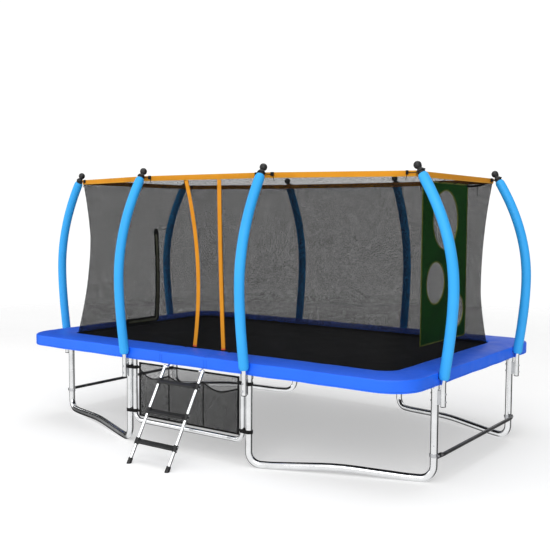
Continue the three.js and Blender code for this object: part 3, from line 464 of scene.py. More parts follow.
class Build:
    """A mesh in the making: vertices, faces with a slot each, and face UVs in metres."""

    def __init__(self):
        self.verts, self.faces, self.uvs, self.slots = [], [], [], []
        self.count = 0

    def grid(self, points, closed_rows=False, closed_cols=False, slot=0, flip=False, uv=None):
        """Quads over a (rows, columns, 3) array of points.
        
        uv is a like array of places on the cloth.
        """
        points = np.asarray(points, float)
        rows, cols = points.shape[:2]
        if uv is None:
            u = lengths(np.concatenate([points[0], points[0, :1]]) if closed_cols else points[0])
            left_column = points[:, 0]
            v = lengths(np.concatenate([left_column, left_column[:1]]) if closed_rows else left_column)
            uv = np.stack(np.meshgrid(u, v), -1)
        start = self.count
        self.verts.extend(map(tuple, points.reshape(-1, 3)))
        self.count += rows * cols
        for i in range(rows if closed_rows else rows - 1):
            for j in range(cols if closed_cols else cols - 1):
                ring, column = (i + 1) % rows, (j + 1) % cols
                corners = [(i, j), (i, column), (ring, column), (ring, j)]
                spots = [uv[i, j], uv[i, j + 1], uv[i + 1, j + 1], uv[i + 1, j]]
                if flip:
                    corners, spots = corners[::-1], spots[::-1]
                self.faces.append([start + a * cols + b for a, b in corners])
                self.uvs.append(spots)
                self.slots.append(slot)
        return start

    def cap(self, loop, slot=0, flip=False):
        """One face over a loop of vertex numbers."""
        loop = list(loop)[::-1] if flip else list(loop)
        self.faces.append(loop)
        self.uvs.append([(0.0, 0.0)] * len(loop))
        self.slots.append(slot)

    def sweep(self, path, section, closed=False, side=None, scale=None, caps=True, slot=0):
        """Section, as (side, up) offsets, carried along a path without twisting."""
        path = np.asarray(path, float)
        ahead = np.roll(path, -1, 0) - np.roll(path, 1, 0)
        if not closed:
            ahead[0], ahead[-1] = path[1] - path[0], path[-1] - path[-2]
        ahead = unit(ahead)
        if side is None:
            side = np.eye(3)[int(np.argmin(np.abs(ahead[0])))]
            fixed = False
        else:
            side, fixed = np.asarray(side, float), True
        sides = []
        last = side
        for tangent in ahead:
            last = unit((side if fixed else last) - tangent * (tangent @ (side if fixed else last)))
            sides.append(last)
        sides = np.array(sides)
        ups = np.cross(ahead, sides)
        section = np.asarray(section, float)
        scale = np.ones(len(path)) if scale is None else np.asarray(scale, float)
        if scale.ndim == 1:
            scale = np.stack([scale, scale], 1)
        offsets = (
            sides[:, None] * (section[None, :, :1] * scale[:, None, :1])
            + ups[:, None] * (section[None, :, 1:] * scale[:, None, 1:])
        )
        points = path[:, None] + offsets
        start = self.grid(points, closed_rows=closed, closed_cols=True, slot=slot)
        if caps and not closed:
            count = len(section)
            self.cap(range(start, start + count), slot, flip=True)
            last_ring = start + (len(path) - 1) * count
            self.cap(range(last_ring, last_ring + count), slot)
        return start

    def tube(self, path, radius, sides=20, closed=False, caps=True, slot=0, scale=None):
        """A round tube along a path."""
        return self.sweep(path, circle(radius, sides), closed=closed, caps=caps, slot=slot,
                          scale=scale)

    def lathe(self, profile, base, axis, sides=24, slot=0):
        """Turned shape from (radius, height) pairs along an axis. Its ends are closed."""
        axis = unit(axis)
        side = unit(np.cross(axis, np.eye(3)[int(np.argmin(np.abs(axis)))]))
        up = np.cross(axis, side)
        ring = circle(1.0, sides)
        round_it = side * ring[:, :1] + up * ring[:, 1:]
        points = [np.asarray(base) + axis * height + round_it * max(radius, 1e-4)
                  for radius, height in profile]
        start = self.grid(points, closed_cols=True, slot=slot)
        self.cap(range(start, start + sides), slot, flip=True)
        top = start + (len(profile) - 1) * sides
        self.cap(range(top, top + sides), slot)

    def block(self, middle, size, axes=None, bevel=0.003, slot=0):
        """Box with rounded edges. axes are its three unit directions."""
        bm = bmesh.new()
        bmesh.ops.create_cube(bm, size=1.0)
        bmesh.ops.scale(bm, vec=Vector(size), verts=bm.verts)
        bmesh.ops.bevel(bm, geom=bm.edges[:], offset=bevel, segments=3, profile=0.5, affect="EDGES")
        turn = np.eye(3) if axes is None else np.array([unit(a) for a in axes])
        start = self.count
        bm.verts.ensure_lookup_table()
        self.verts.extend(tuple(np.array(v.co) @ turn + np.asarray(middle)) for v in bm.verts)
        self.count += len(bm.verts)
        for face in bm.faces:
            self.faces.append([start + v.index for v in face.verts])
            spots = []
            for v in face.verts:
                flat = [c for k, c in enumerate(v.co) if k != int(np.argmax(np.abs(face.normal)))]
                spots.append(tuple(flat))
            self.uvs.append(spots)
            self.slots.append(slot)
        bm.free()

    def prism(self, outline, low, high, slot=0):
        """Upright prism of a plan outline."""
        outline = np.asarray(outline, float)
        rings = [np.column_stack([outline, np.full(len(outline), z)]) for z in (low, high)]
        start = self.grid(rings, closed_cols=True, slot=slot)
        count = len(outline)
        self.cap(range(start, start + count), slot, flip=True)
        self.cap(range(start + count, start + 2 * count), slot)

    def bolt(self, place, axis, radius=0.0075, slot=0):
        """Bolt head on a washer: hexagon with a domed top."""
        washer = [(radius * 1.35, 0.0), (radius * 1.4, 0.0006),
                  (radius * 1.3, 0.0016), (radius, 0.0016)]
        self.lathe(washer, place, axis, 20, slot)
        head = [(radius, 0.0012), (radius * 1.02, 0.0050), (radius * 0.86, 0.0064), (0.0, 0.0070)]
        self.lathe(head, place, axis, 6, slot)

    def piece(self, name, materials, body=None, smooth=True, merge=0.0, sharp=40.0):
        """The finished object, riding on a body if one is given."""
        mesh = bpy.data.meshes.new(name)
        mesh.from_pydata(self.verts, [], self.faces)
        layer = mesh.uv_layers.new(name=CLOTH_UV)
        layer.data.foreach_set("uv", [c for face in self.uvs for spot in face for c in spot])
        mesh.polygons.foreach_set("material_index", self.slots)
        for material in materials if isinstance(materials, (list, tuple)) else [materials]:
            mesh.materials.append(material)
        bm = bmesh.new()
        bm.from_mesh(mesh)
        if merge:
            bmesh.ops.remove_doubles(bm, verts=bm.verts, dist=merge)
        bmesh.ops.recalc_face_normals(bm, faces=bm.faces)
        limit = math.radians(sharp)
        for face in bm.faces:
            face.smooth = smooth
        for edge in bm.edges:
            if len(edge.link_faces) == 2 and edge.calc_face_angle(0.0) > limit:
                edge.smooth = False
        bm.to_mesh(mesh)
        bm.free()
        made = bpy.data.objects.new(name, mesh)
        bpy.context.scene.collection.objects.link(made)
        if body:
            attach(made, body)
        return made


def ripple(place, size, amount):
    """Smooth seeded unevenness, in metres."""
    return amount * noise.noise(Vector(place) / size)


# ---------------------------------------------------------------- steel frame


def rail_corner(sign_x, sign_y):
    """Centre line of a corner rail, with the ends that receive the straight rails."""
    start = at(sign_x * FRAME_X, sign_y * (SHORT_POST_Y - RAIL_JOINT), RAIL_Z)
    end = at(sign_x * (LONG_POST_X - RAIL_JOINT), sign_y * FRAME_Y, RAIL_Z)
    corner = at(sign_x * FRAME_X, sign_y * FRAME_Y, RAIL_Z)
    return rounded_path([start, corner, end], [FRAME_R])


def weld(build, place, axis, radius, slot=0):
    """Uneven bead round a tube."""
    axis = unit(axis)
    side = unit(np.cross(axis, np.eye(3)[int(np.argmin(np.abs(axis)))]))
    up = np.cross(axis, side)
    turn = np.arange(40) * 2 * math.pi / 40
    wobble = 1 + 0.02 * np.sin(turn * 11)
    ring = np.asarray(place) + radius * wobble[:, None] * (
        side * np.cos(turn)[:, None] + up * np.sin(turn)[:, None]
    )
    build.tube(ring, 0.0028, 8, closed=True, slot=slot)


def make_rails():
    """The rails of the frame and what is fixed to them."""
    for name, sign_x, sign_y in CORNERS:
        build = Build()
        path = rail_corner(sign_x, sign_y)
        build.tube(path, RAIL_R, 28)
        posts = [p for p in POSTS if p[1] * sign_x > 0 and p[2] * sign_y > 0]
        for _, x, y, out in posts:
            rim = [(SOCKET_R - 0.004, 0.0), (SOCKET_R, 0.001),
                   (SOCKET_R, RAIL_Z - SOCKET_BOTTOM - 0.02)]
            build.lathe(rim, at(x, y, SOCKET_BOTTOM), (0, 0, 1), 32)
            weld(build, at(x, y, RAIL_Z - RAIL_R * 0.8), (0, 0, 1), SOCKET_R * 0.96)
            along = Vector((abs(out[1]), abs(out[0]), 0))
            for sign in (-1, 1):
                spot = at(x, y, SOCKET_BOTTOM + 0.018) + along * sign * SOCKET_R
                build.bolt(spot, along * sign, 0.0060, slot=1)
        for end, inner in ((path[0], path[1]), (path[-1], path[-2])):
            reach = unit(inner - end)
            cuff = [end + reach * d for d in (-0.001, 0.0, 0.044, 0.046)]
            build.tube(cuff, RAIL_R + 0.0016, 28, scale=[0.96, 1, 1, 0.95])
            build.bolt(end + reach * 0.022 + np.array([0, 0, -RAIL_R - 0.001]),
                       (0, 0, -1), 0.0055, slot=1)
        piece = build.piece("corner_rail_" + name + "_tube", [STEEL, ZINC], "frame")
        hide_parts("corner_rail_" + name)
    run_x, run_y = LONG_POST_X - RAIL_JOINT, SHORT_POST_Y - RAIL_JOINT
    straights = {
        "front": (at(-run_x, -FRAME_Y, RAIL_Z), at(run_x, -FRAME_Y, RAIL_Z)),
        "back": (at(-run_x, FRAME_Y, RAIL_Z), at(run_x, FRAME_Y, RAIL_Z)),
        "left": (at(-FRAME_X, -run_y, RAIL_Z), at(-FRAME_X, run_y, RAIL_Z)),
        "right": (at(FRAME_X, -run_y, RAIL_Z), at(FRAME_X, run_y, RAIL_Z)),
    }
    for name, (start, end) in straights.items():
        build = Build()
        build.tube(resampled(np.array([start, end]), 0.1), RAIL_R, 28)
        piece = build.piece("side_rail_" + name + "_tube", STEEL, "frame")
        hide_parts("side_rail_" + name)


def make_legs():
    """The four legs, each one tube bent to a U."""
    span_x, span_y = FRAME_X - LONG_POST_X, FRAME_Y - SHORT_POST_Y
    half = math.hypot(span_x, span_y) / 2
    level = half - LEG_BEND_R - LEG_FLAT
    for name, sign_x, sign_y in CORNERS:
        centre = at(sign_x * (FRAME_X + LONG_POST_X) / 2, sign_y * (FRAME_Y + SHORT_POST_Y) / 2, 0)
        along = Vector((span_x, -sign_x * sign_y * span_y, 0)).normalized()
        profile = [(-half, LEG_TOP), (-half, LEG_R), (-level, LEG_R), (0, LEG_R + LEG_ARCH),
                   (level, LEG_R), (half, LEG_R), (half, LEG_TOP)]
        corners = [centre + along * s + Vector((0, 0, z)) for s, z in profile]
        path = rounded_path(corners, [LEG_BEND_R, 1.6, 2.4, 1.6, LEG_BEND_R], math.radians(6))
        build = Build()
        build.tube(path, LEG_R, 32)
        for sign in (-1, 1):
            spot = centre + along * sign * half + Vector((0, 0, 0.30))
            outward = Vector((along.y, -along.x, 0)) * (1 if along.y * sign_x >= 0 else -1)
            build.lathe([(0.006, 0), (0.0058, 0.0012), (0.0, 0.0022)],
                        spot + outward * LEG_R, outward, 16, 1)
        piece = build.piece("corner_leg_" + name + "_tube", [STEEL, ZINC], "frame")
        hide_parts("corner_leg_" + name)


def make_braces():
    """The low U braces at front and back."""
    for name, sign in (("front", -1), ("back", 1)):
        y = sign * FRAME_Y
        top = RAIL_Z - RAIL_R - 0.0004
        corners = [at(-BRACE_X, y, top), at(-BRACE_X, y, BRACE_Z),
                   at(BRACE_X, y, BRACE_Z), at(BRACE_X, y, top)]
        build = Build()
        build.tube(rounded_path(corners, [BRACE_BEND_R] * 2), BRACE_R, 28)
        for side in (-1, 1):
            build.lathe(
                [(BRACE_R + 0.010, 0.0), (BRACE_R + 0.010, 0.004), (BRACE_R, 0.0045)],
                at(side * BRACE_X, y, top - 0.006), (0, 0, 1), 28, 1)
        piece = build.piece("u_brace_" + name + "_tube", [STEEL, ZINC], "frame")
        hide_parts("u_brace_" + name)


def make_tie_bars():
    """Round bars whose ends are pressed flat and bolted through a strap on the leg."""
    centre = FRAME_X + LEG_R / math.cos(math.pi / 12) + TIE_R + 0.0004
    half = SHORT_POST_Y + TIE_REACH
    for name, sign in (("left", -1), ("right", 1)):
        build = Build()
        places = np.concatenate([
            np.linspace(-half, -half + 0.12, 14), np.linspace(-half + 0.2, half - 0.2, 12),
            np.linspace(half - 0.12, half, 14)])
        from_end = half - np.abs(places)
        flat = np.clip(1 - (from_end - 0.045) / 0.05, 0, 1)
        flat = flat * flat * (3 - 2 * flat)
        squash = np.stack([1 - 0.72 * flat, 1 + 0.42 * flat], 1)
        rounding = np.clip(from_end / 0.012, 0.0, 1.0)
        squash[:, 1] *= 0.35 + 0.65 * np.sqrt(rounding)
        path = [at(sign * (centre - 0.0110 * f), y, TIE_Z) for y, f in zip(places, flat)]
        build.sweep(path, circle(TIE_R, 20), side=(sign, 0, 0), scale=squash)
        for end in (-1, 1):
            leg = (FRAME_X * sign, end * SHORT_POST_Y)
            strap = [(LEG_R + 0.0004, -0.016), (LEG_R + 0.0030, -0.0155), (LEG_R + 0.0030, 0.0155),
                     (LEG_R + 0.0004, 0.016)]
            build.lathe(strap, at(*leg, TIE_Z), (0, 0, 1), 32, 1)
            face = sign * (centre - 0.0110 + TIE_R * 0.28)
            build.bolt(at(face, leg[1], TIE_Z), (sign, 0, 0), 0.0085, slot=1)
            build.bolt(at(sign * (FRAME_X - LEG_R - 0.002), leg[1], TIE_Z),
                       (-sign, 0, 0), 0.0085, slot=1)
        piece = build.piece("tie_bar_" + name + "_tube", [GREY_STEEL, ZINC], "frame")
        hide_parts("tie_bar_" + name)


# ---------------------------------------------------------------- enclosure poles


def bezier(controls, count):
    """Points of a Bezier curve of any order."""
    t = np.linspace(0, 1, count)[:, None]
    order = len(controls) - 1
    terms = [math.comb(order, k) * t**k * (1 - t) ** (order - k) * np.array(c)
             for k, c in enumerate(controls)]
    return sum(terms)


LOWER_BOW = bezier(
    [(POLE_OFFSET, POLE_BEND), (POLE_OFFSET, POLE_BEND + 0.06),
     (POLE_BULGE, 1.2), (POLE_BULGE, POLE_BULGE_Z)], 22)
UPPER_BOW = bezier(
    [(POLE_BULGE, POLE_BULGE_Z), (POLE_BULGE, (POLE_BULGE_Z + POLE_TOP) / 2),
     (POLE_TOP_OFFSET, POLE_TOP)], 26)
BOW = np.concatenate([LOWER_BOW, UPPER_BOW[1:]])  # (outward, height) of the pole's centre line
TOP_DIRECTION = unit(UPPER_BOW[-1] - UPPER_BOW[-2])


def on_post(post, profile):
    """(outward, height) pairs as points of the row frame at a post."""
    _, x, y, out = post
    return np.array([at(x + out[0] * u, y + out[1] * u, z) for u, z in profile])


def make_pole(post):
    """One bowed pole; post is its row in the list of posts."""
    name = post[0]
    out = Vector((*post[3], 0))
    across = Vector((-out.y, out.x, 0))
    build = Build()
    stub = BOW[-1] + TOP_DIRECTION * POLE_STUB
    line = np.concatenate([[(POLE_OFFSET, POLE_BOTTOM), (POLE_OFFSET, 0.70)], BOW, [stub]])
    build.tube(on_post(post, line), POLE_R, 24)
    plug = [(POLE_R - 0.003, 0.0), (POLE_R + 0.0012, -0.001),
            (POLE_R + 0.0012, -0.005), (POLE_R - 0.006, -0.008)]
    build.lathe(plug[::-1], at(post[1], post[2], POLE_BOTTOM) + out * POLE_OFFSET, (0, 0, 1), 24, 2)
    # channel spacer between the leg and the pole, hollowed to both tubes
    half = 0.012
    steps = np.linspace(-half, half, 7)
    leg_side = [(math.sqrt(LEG_R**2 - s * s) + 0.0006, s) for s in steps]
    pole_side = [(POLE_OFFSET - math.sqrt(POLE_R**2 - s * s) - 0.0002, s) for s in steps[::-1]]
    centre = at(post[1], post[2], 0)
    outline = [(centre + out * u + across * s)[:2] for u, s in leg_side + pole_side]
    build.prism(outline, 0.625, 0.736, slot=1)
    for height in (0.650, 0.711):
        base = centre + Vector((0, 0, height))
        build.bolt(base + out * (POLE_OFFSET + POLE_R), out, 0.0070, slot=1)
        build.bolt(base - out * LEG_R, -out, 0.0070, slot=1)
    piece = build.piece("pole_" + name + "_tube", [STEEL, ZINC, PLASTIC], "frame")
    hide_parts("pole_" + name)


def make_foam(post, number):
    """Foam sleeve in a shrunk cover, a little uneven, with the foam showing at its lower end."""
    name = post[0]
    start = np.array([np.interp(FOAM_BOTTOM, BOW[:, 1], BOW[:, 0]), FOAM_BOTTOM])
    line = np.concatenate([[start], BOW[BOW[:, 1] > FOAM_BOTTOM + 0.004]])
    path = resampled(on_post(post, line), 0.020)
    run = lengths(path)
    edge = np.minimum(run, run[-1] - run)
    body = 1 - 0.22 * np.exp(-edge / 0.0035)
    gather = 1 - 0.05 * np.exp(-((run - run[-1] + 0.03) / 0.010) ** 2)
    wave = [1 + 0.010 * noise.noise(Vector((number * 7.3, r * 4.0, 0.0))) for r in run]
    build = Build()
    build.tube(path, FOAM_R, 32, scale=body * gather * np.array(wave))
    tangent = unit(path[0] - path[1])
    build.lathe([(FOAM_R * 0.74, -0.0005), (FOAM_R * 0.70, 0.0006), (POLE_R, 0.0006)],
                path[0], tangent, 32, 1)
    piece = build.piece("foam_" + name, [FOAM, FOAM_CORE], "frame")
    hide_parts("foam_sleeve_" + name)


def make_cap(post):
    """Ball-ended cap, with the nub on its collar that holds the net's tie."""
    name = post[0]
    _, _, _, out = post
    axis = np.array([out[0] * TOP_DIRECTION[0], out[1] * TOP_DIRECTION[0], TOP_DIRECTION[1]])
    base = on_post(post, [BOW[-1]])[0]
    profile = [(0.0235, 0.0015), (0.0300, 0.0025), (0.0308, 0.006),
               (0.0305, 0.030), (0.0290, 0.034),
               (0.0230, 0.039), (0.0200, 0.044), (0.0190, 0.049)]
    low = -math.acos(0.0190 / CAP_BALL_R)
    for step in range(13):
        angle = low + (math.pi / 2 - low) * step / 12
        profile.append((CAP_BALL_R * math.cos(angle), CAP_BALL_AT + CAP_BALL_R * math.sin(angle)))
    build = Build()
    build.lathe(profile, base, axis, 28)
    level_out = np.array([out[0], out[1], 0.0])
    outward = unit(level_out - axis * (axis @ level_out))
    for height, reach in ((0.018, 0.009), (0.052, 0.006)):
        build.lathe([(0.0065, -0.004), (0.0065, reach),
                     (0.0055, reach + 0.002), (0.002, reach + 0.003)],
                    base + axis * height + outward * 0.029 * (1 if height < 0.03 else 0.66),
                    outward, 14)
    piece = build.piece("cap_" + name, PLASTIC, "frame")
    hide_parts("pole_cap_" + name)


# ---------------------------------------------------------------- net surface


def net_foot(post):
    """Where the foot of the net stands beside a post, seen from above."""
    _, x, y, out = post
    return np.array([out[0] * NET_X if out[0] else x, out[1] * NET_Y if out[1] else y])


def bottom_path(start, end):
    """Bottom edge of the net between two posts, in plan."""
    a, b = net_foot(start), net_foot(end)
    if start[3] == end[3]:
        return np.array([a, b])
    corner = np.array([math.copysign(NET_X, a[0] + b[0]), math.copysign(NET_Y, a[1] + b[1])])
    line = [np.append(p, 0.0) for p in (a, corner, b)]
    return rounded_path(line, [NET_R], math.radians(6))[:, :2]


class NetSide:
    """One side of the net between two posts, as a surface over (share, height)."""

    def __init__(self, number):
        start, end = POSTS[number], POSTS[(number + 1) % 8]
        self.path = bottom_path(start, end)
        self.run = lengths(self.path)
        tops = [np.array([p[1] - p[3][0] * NET_INSET, p[2] - p[3][1] * NET_INSET])
                for p in (start, end)]
        self.top = np.array(tops)
        along = unit(self.top[1] - self.top[0])
        self.square = np.array([-along[1], along[0]])
        self.width = float(np.linalg.norm(self.top[1] - self.top[0]))

    def link(self, before, after):
        """Notes which way the neighbouring sides face."""
        self.before, self.after = before.square, after.square

    def point(self, share, height, offset=0.0):
        """Points on the net at shares of this side's width, moved outward by offset."""
        share, height, offset = np.broadcast_arrays(
            *(np.asarray(v, float) for v in (share, height, offset)))
        rise = (height - NET_BOTTOM) / (NET_TOP - NET_BOTTOM)
        foot = np.stack([np.interp(share * self.run[-1], self.run, self.path[:, k])
                         for k in (0, 1)], -1)
        top = self.top[0] + (self.top[1] - self.top[0]) * share[..., None]
        other = np.where(share[..., None] < 0.5, self.before, self.after)
        mixed = np.abs(share - 0.5)[..., None]
        inward = unit(self.square * (1 - mixed) + other * mixed)
        bow = NET_WAIST * 4 * rise * (1 - rise) + 0.006 * slack(foot, height) - offset
        plan = foot + (top - foot) * rise[..., None] + inward * bow[..., None]
        return np.concatenate([plan, height[..., None]], -1) + np.array([0, CENTRE_Y, 0])


def slack(foot, height):
    """Gentle upright folds in the net that fade towards its band and hem."""
    flat, levels = foot.reshape(-1, 2), height.reshape(-1)
    values = [noise.noise(Vector((x * 3.1, y * 3.1, z * 0.9))) for (x, y), z in zip(flat, levels)]
    rise = (levels - NET_BOTTOM) / (NET_TOP - NET_BOTTOM)
    fade = np.clip(rise * 12, 0, 1) * np.clip((1 - rise) * 8, 0, 1)
    return (np.array(values) * fade).reshape(height.shape)


SIDES = [NetSide(k) for k in range(8)]
for number, side in enumerate(SIDES):
    side.link(SIDES[number - 1], SIDES[(number + 1) % 8])
FRONT, RIGHT, LEFT = SIDES[1], SIDES[3], SIDES[7]


def front_share(x):
    """How far along the front side of the net x lies, from 0 to 1."""
    return (np.asarray(x, float) + LONG_POST_X) / (2 * LONG_POST_X)


def left_share(y):
    """How far along the left side of the net y lies, from 0 to 1."""
    return (SHORT_POST_Y - np.asarray(y, float)) / (2 * SHORT_POST_Y)


HEM_ROWS = np.linspace(NET_BOTTOM, DOOR_BOTTOM, 7)
WALL_ROWS = np.linspace(DOOR_BOTTOM, DOOR_TOP, 38)
TOP_ROWS = np.linspace(DOOR_TOP, NET_TOP, 3)
NET_ROWS = np.concatenate([HEM_ROWS, WALL_ROWS[1:], TOP_ROWS[1:]])
NET_STEP = 0.04


def net_patch(build, side, shares, low, high, rows, offset=0.0, slot=0):
    """Cloth between two height lines over the given shares. rows are shares of the height."""
    shares = np.asarray(shares, float)
    low, high = (np.broadcast_to(np.asarray(v, float), shares.shape) for v in (low, high))
    rows = np.asarray(rows, float)[:, None]
    heights = low + (high - low) * rows
    across = np.broadcast_to(shares, heights.shape)
    points = side.point(across, heights, offset)
    build.grid(points, slot=slot, uv=np.stack([across * side.width, heights], -1))


def even(low, high, step):
    """Even steps from low to high, each about as long as step."""
    return np.linspace(low, high, max(2, round(abs(high - low) / step) + 1))


def zip_diagonal(y):
    """Height of the slanted fold of the zip's triangle at y."""
    along = np.asarray(y, float) - ZIP_END_Y
    return ZIP_BOTTOM + (ZIP_TOP - ZIP_BOTTOM) * along / (ZIP_Y - ZIP_END_Y)


def make_net():
    """The net wall, less the doorway and the zip's triangle."""
    build = Build()
    rows = (NET_ROWS - NET_BOTTOM) / (NET_TOP - NET_BOTTOM)
    for side in SIDES:
        if side in (FRONT, LEFT):
            continue
        count = round(max(side.run[-1], side.width) / NET_STEP)
        net_patch(build, side, np.linspace(0, 1, count + 1), NET_BOTTOM, NET_TOP, rows)
    # front: cloth at both sides of the doorway, a sill under it and a head over it
    for low, high in ((-LONG_POST_X, -DOOR_HALF), (DOOR_HALF, LONG_POST_X)):
        net_patch(build, FRONT, front_share(even(low, high, NET_STEP)), NET_BOTTOM, NET_TOP, rows)
    doorway = front_share(even(-DOOR_HALF, DOOR_HALF, NET_STEP))
    hem = (HEM_ROWS - NET_BOTTOM) / (DOOR_BOTTOM - NET_BOTTOM)
    net_patch(build, FRONT, doorway, NET_BOTTOM, DOOR_BOTTOM, hem)
    net_patch(build, FRONT, doorway, DOOR_TOP, NET_TOP, [0, 0.5, 1])
    # left: cloth round the triangle that the zip frees
    for low, high in ((-SHORT_POST_Y, ZIP_END_Y), (ZIP_Y, SHORT_POST_Y)):
        net_patch(build, LEFT, left_share(even(low, high, NET_STEP)), NET_BOTTOM, NET_TOP, rows)
    over = even(ZIP_END_Y, ZIP_Y, NET_STEP / 2)
    net_patch(build, LEFT, left_share(over), zip_diagonal(over), NET_TOP, np.linspace(0, 1, 40))
    net_patch(build, LEFT, left_share(over), NET_BOTTOM, ZIP_BOTTOM, np.linspace(0, 1, 8))
    net = build.piece("net", NET, merge=0.0002)
    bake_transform(net)
    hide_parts("safety_net")
    return net


def ring_strip(build, section, step=0.05, slot=0):
    """Closed strip all round the net. section is a loop of (height, offset) pairs."""
    columns = []
    for side in SIDES:
        count = round(side.width / step)
        for share in np.arange(count) / count:
            heights, offsets = np.array(section).T
            columns.append(side.point(np.full(len(section), share), heights, offsets))
    build.grid(np.array(columns), closed_rows=True, closed_cols=True, slot=slot)


def flat_section(low, high, inner, outer):
    """Loop of (height, offset) pairs round a flat strip, with eased edges."""
    ease = min(0.0012, (outer - inner) / 2.5)
    return [(low, inner + ease), (low + ease, inner), (high - ease, inner), (high, inner + ease),
            (high, outer - ease), (high - ease, outer), (low + ease, outer), (low, outer - ease)]


def make_band():
    """The band round the top of the net."""
    build = Build()
    bottom = NET_TOP - BAND_HEIGHT
    ring_strip(build, flat_section(bottom, NET_TOP, 0.0020, 0.0065))
    for height in (bottom + 0.005, NET_TOP - 0.005):
        ring_strip(build, flat_section(height - 0.0006, height + 0.0006, 0.0060, 0.0072), slot=1)
    band = build.piece("band", [ORANGE, LIME], "frame")
    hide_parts("top_band")


def make_hem():
    """The hem round the foot of the net."""
    build = Build()
    ring_strip(build, flat_section(NET_BOTTOM, NET_BOTTOM + 0.024, -0.0022, 0.0022), step=0.04)
    hem = build.piece("net_hem", BINDING)
    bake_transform(hem)
    return hem


def net_ribbon(build, side, shares, heights, width, inner, outer, slot=0):
    """Flat ribbon on the net along a line of (share, height), closed all round."""
    shares, heights = np.asarray(shares, float), np.asarray(heights, float)
    flat = np.stack([shares * side.width, heights], 1)
    ahead = np.gradient(flat, axis=0)
    ahead = unit(ahead)
    across = np.stack([-ahead[:, 1], ahead[:, 0]], 1) * width / 2
    ease = 0.0008
    loop = [(-1, inner + ease), (-0.97, inner), (0, inner), (0.97, inner), (1, inner + ease),
            (1, outer - ease), (0.97, outer), (0, outer), (-0.97, outer), (-1, outer - ease)]
    rings = []
    for spot, sideways in zip(flat, across):
        places = np.array([spot + sideways * k for k, _ in loop])
        rings.append(side.point(places[:, 0] / side.width, places[:, 1], [o for _, o in loop]))
    start = build.grid(rings, closed_cols=True, slot=slot)
    build.cap(range(start, start + len(loop)), slot, flip=True)
    last = start + (len(rings) - 1) * len(loop)
    build.cap(range(last, last + len(loop)), slot)


# ---------------------------------------------------------------- doorway

STRIP_WIDTH = 0.042
FLAP_TURN = 0.012  # width over which a flap leaves the net it is sewn to
OUTER_EDGE = (-0.178, -0.098, -0.166)  # strip's middle: top, control and bottom
OUTER_TAPE = (0.201, 0.082, 0.168)
INNER_EDGE = (0.190, 0.080, 0.164)


def bowed(line, heights):
    """X of a bowed upright line at heights."""
    top, control, bottom = line
    t = (DOOR_TOP - np.asarray(heights, float)) / (DOOR_TOP - DOOR_BOTTOM)
    return top * (1 - t) ** 2 + 2 * control * t * (1 - t) + bottom * t**2


def make_flap(name, hinge, edge, seam, offset):
    """Door flap with its bound edge. It is plain net from its hinge to the other flap's edge,
    and a more open net where the two flaps lie over each other."""
    heights = np.linspace(DOOR_BOTTOM + 0.002, DOOR_TOP, 38)
    toward = math.copysign(1, hinge - edge[0])
    free = bowed(edge, heights) - toward * STRIP_WIDTH / 2
    sewn = np.minimum(bowed(seam, heights) * toward, abs(hinge) - 0.003) * toward
    build = Build()
    for slot, start, end, count in ((0, np.full(38, hinge), sewn, 4), (1, sewn, free, 11)):
        across = start[:, None] + (end - start)[:, None] * np.linspace(0, 1, count)[None, :]
        levels = np.broadcast_to(heights[:, None], across.shape)
        apart = np.clip(np.abs(across - hinge) / FLAP_TURN, 0, 1) * offset
        points = FRONT.point(front_share(across), levels, apart)
        build.grid(points, slot=slot, uv=np.stack([across, levels], -1))
    flap = build.piece(name, [NET, DOOR_NET], merge=0.0001)
    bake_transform(flap)
    strip = door_strip(name + "_strip", edge, offset - 0.0020, offset + 0.0020)
    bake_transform(strip)
    return flap, strip


def door_strip(name, line, inner, outer):
    """Bowed orange strip up the doorway, with a red tab at its foot."""
    heights = np.linspace(DOOR_BOTTOM + 0.002, DOOR_TOP, 38)
    build = Build()
    net_ribbon(build, FRONT, front_share(bowed(line, heights)), heights, STRIP_WIDTH, inner, outer)
    tail = np.array([DOOR_BOTTOM + 0.0025, DOOR_BOTTOM + 0.016])
    net_ribbon(build, FRONT, front_share(bowed(line, tail)), tail, STRIP_WIDTH + 0.002,
               inner - 0.0006, outer + 0.0006, slot=1)
    return build.piece(name, [ORANGE, RED_TAB])


# ---------------------------------------------------------------- zip door


def zip_line(step=0.012):
    """Line of the L-shaped zip as (y, height), from its low end to its top."""
    corners = [(ZIP_END_Y, ZIP_BOTTOM, 0), (ZIP_Y, ZIP_BOTTOM, 0), (ZIP_Y, ZIP_TOP, 0)]
    return resampled(rounded_path(corners, [0.03]), step)[:, :2]


def zip_blend(piece):
    """Bakes the piece's transform into its mesh."""
    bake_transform(piece)


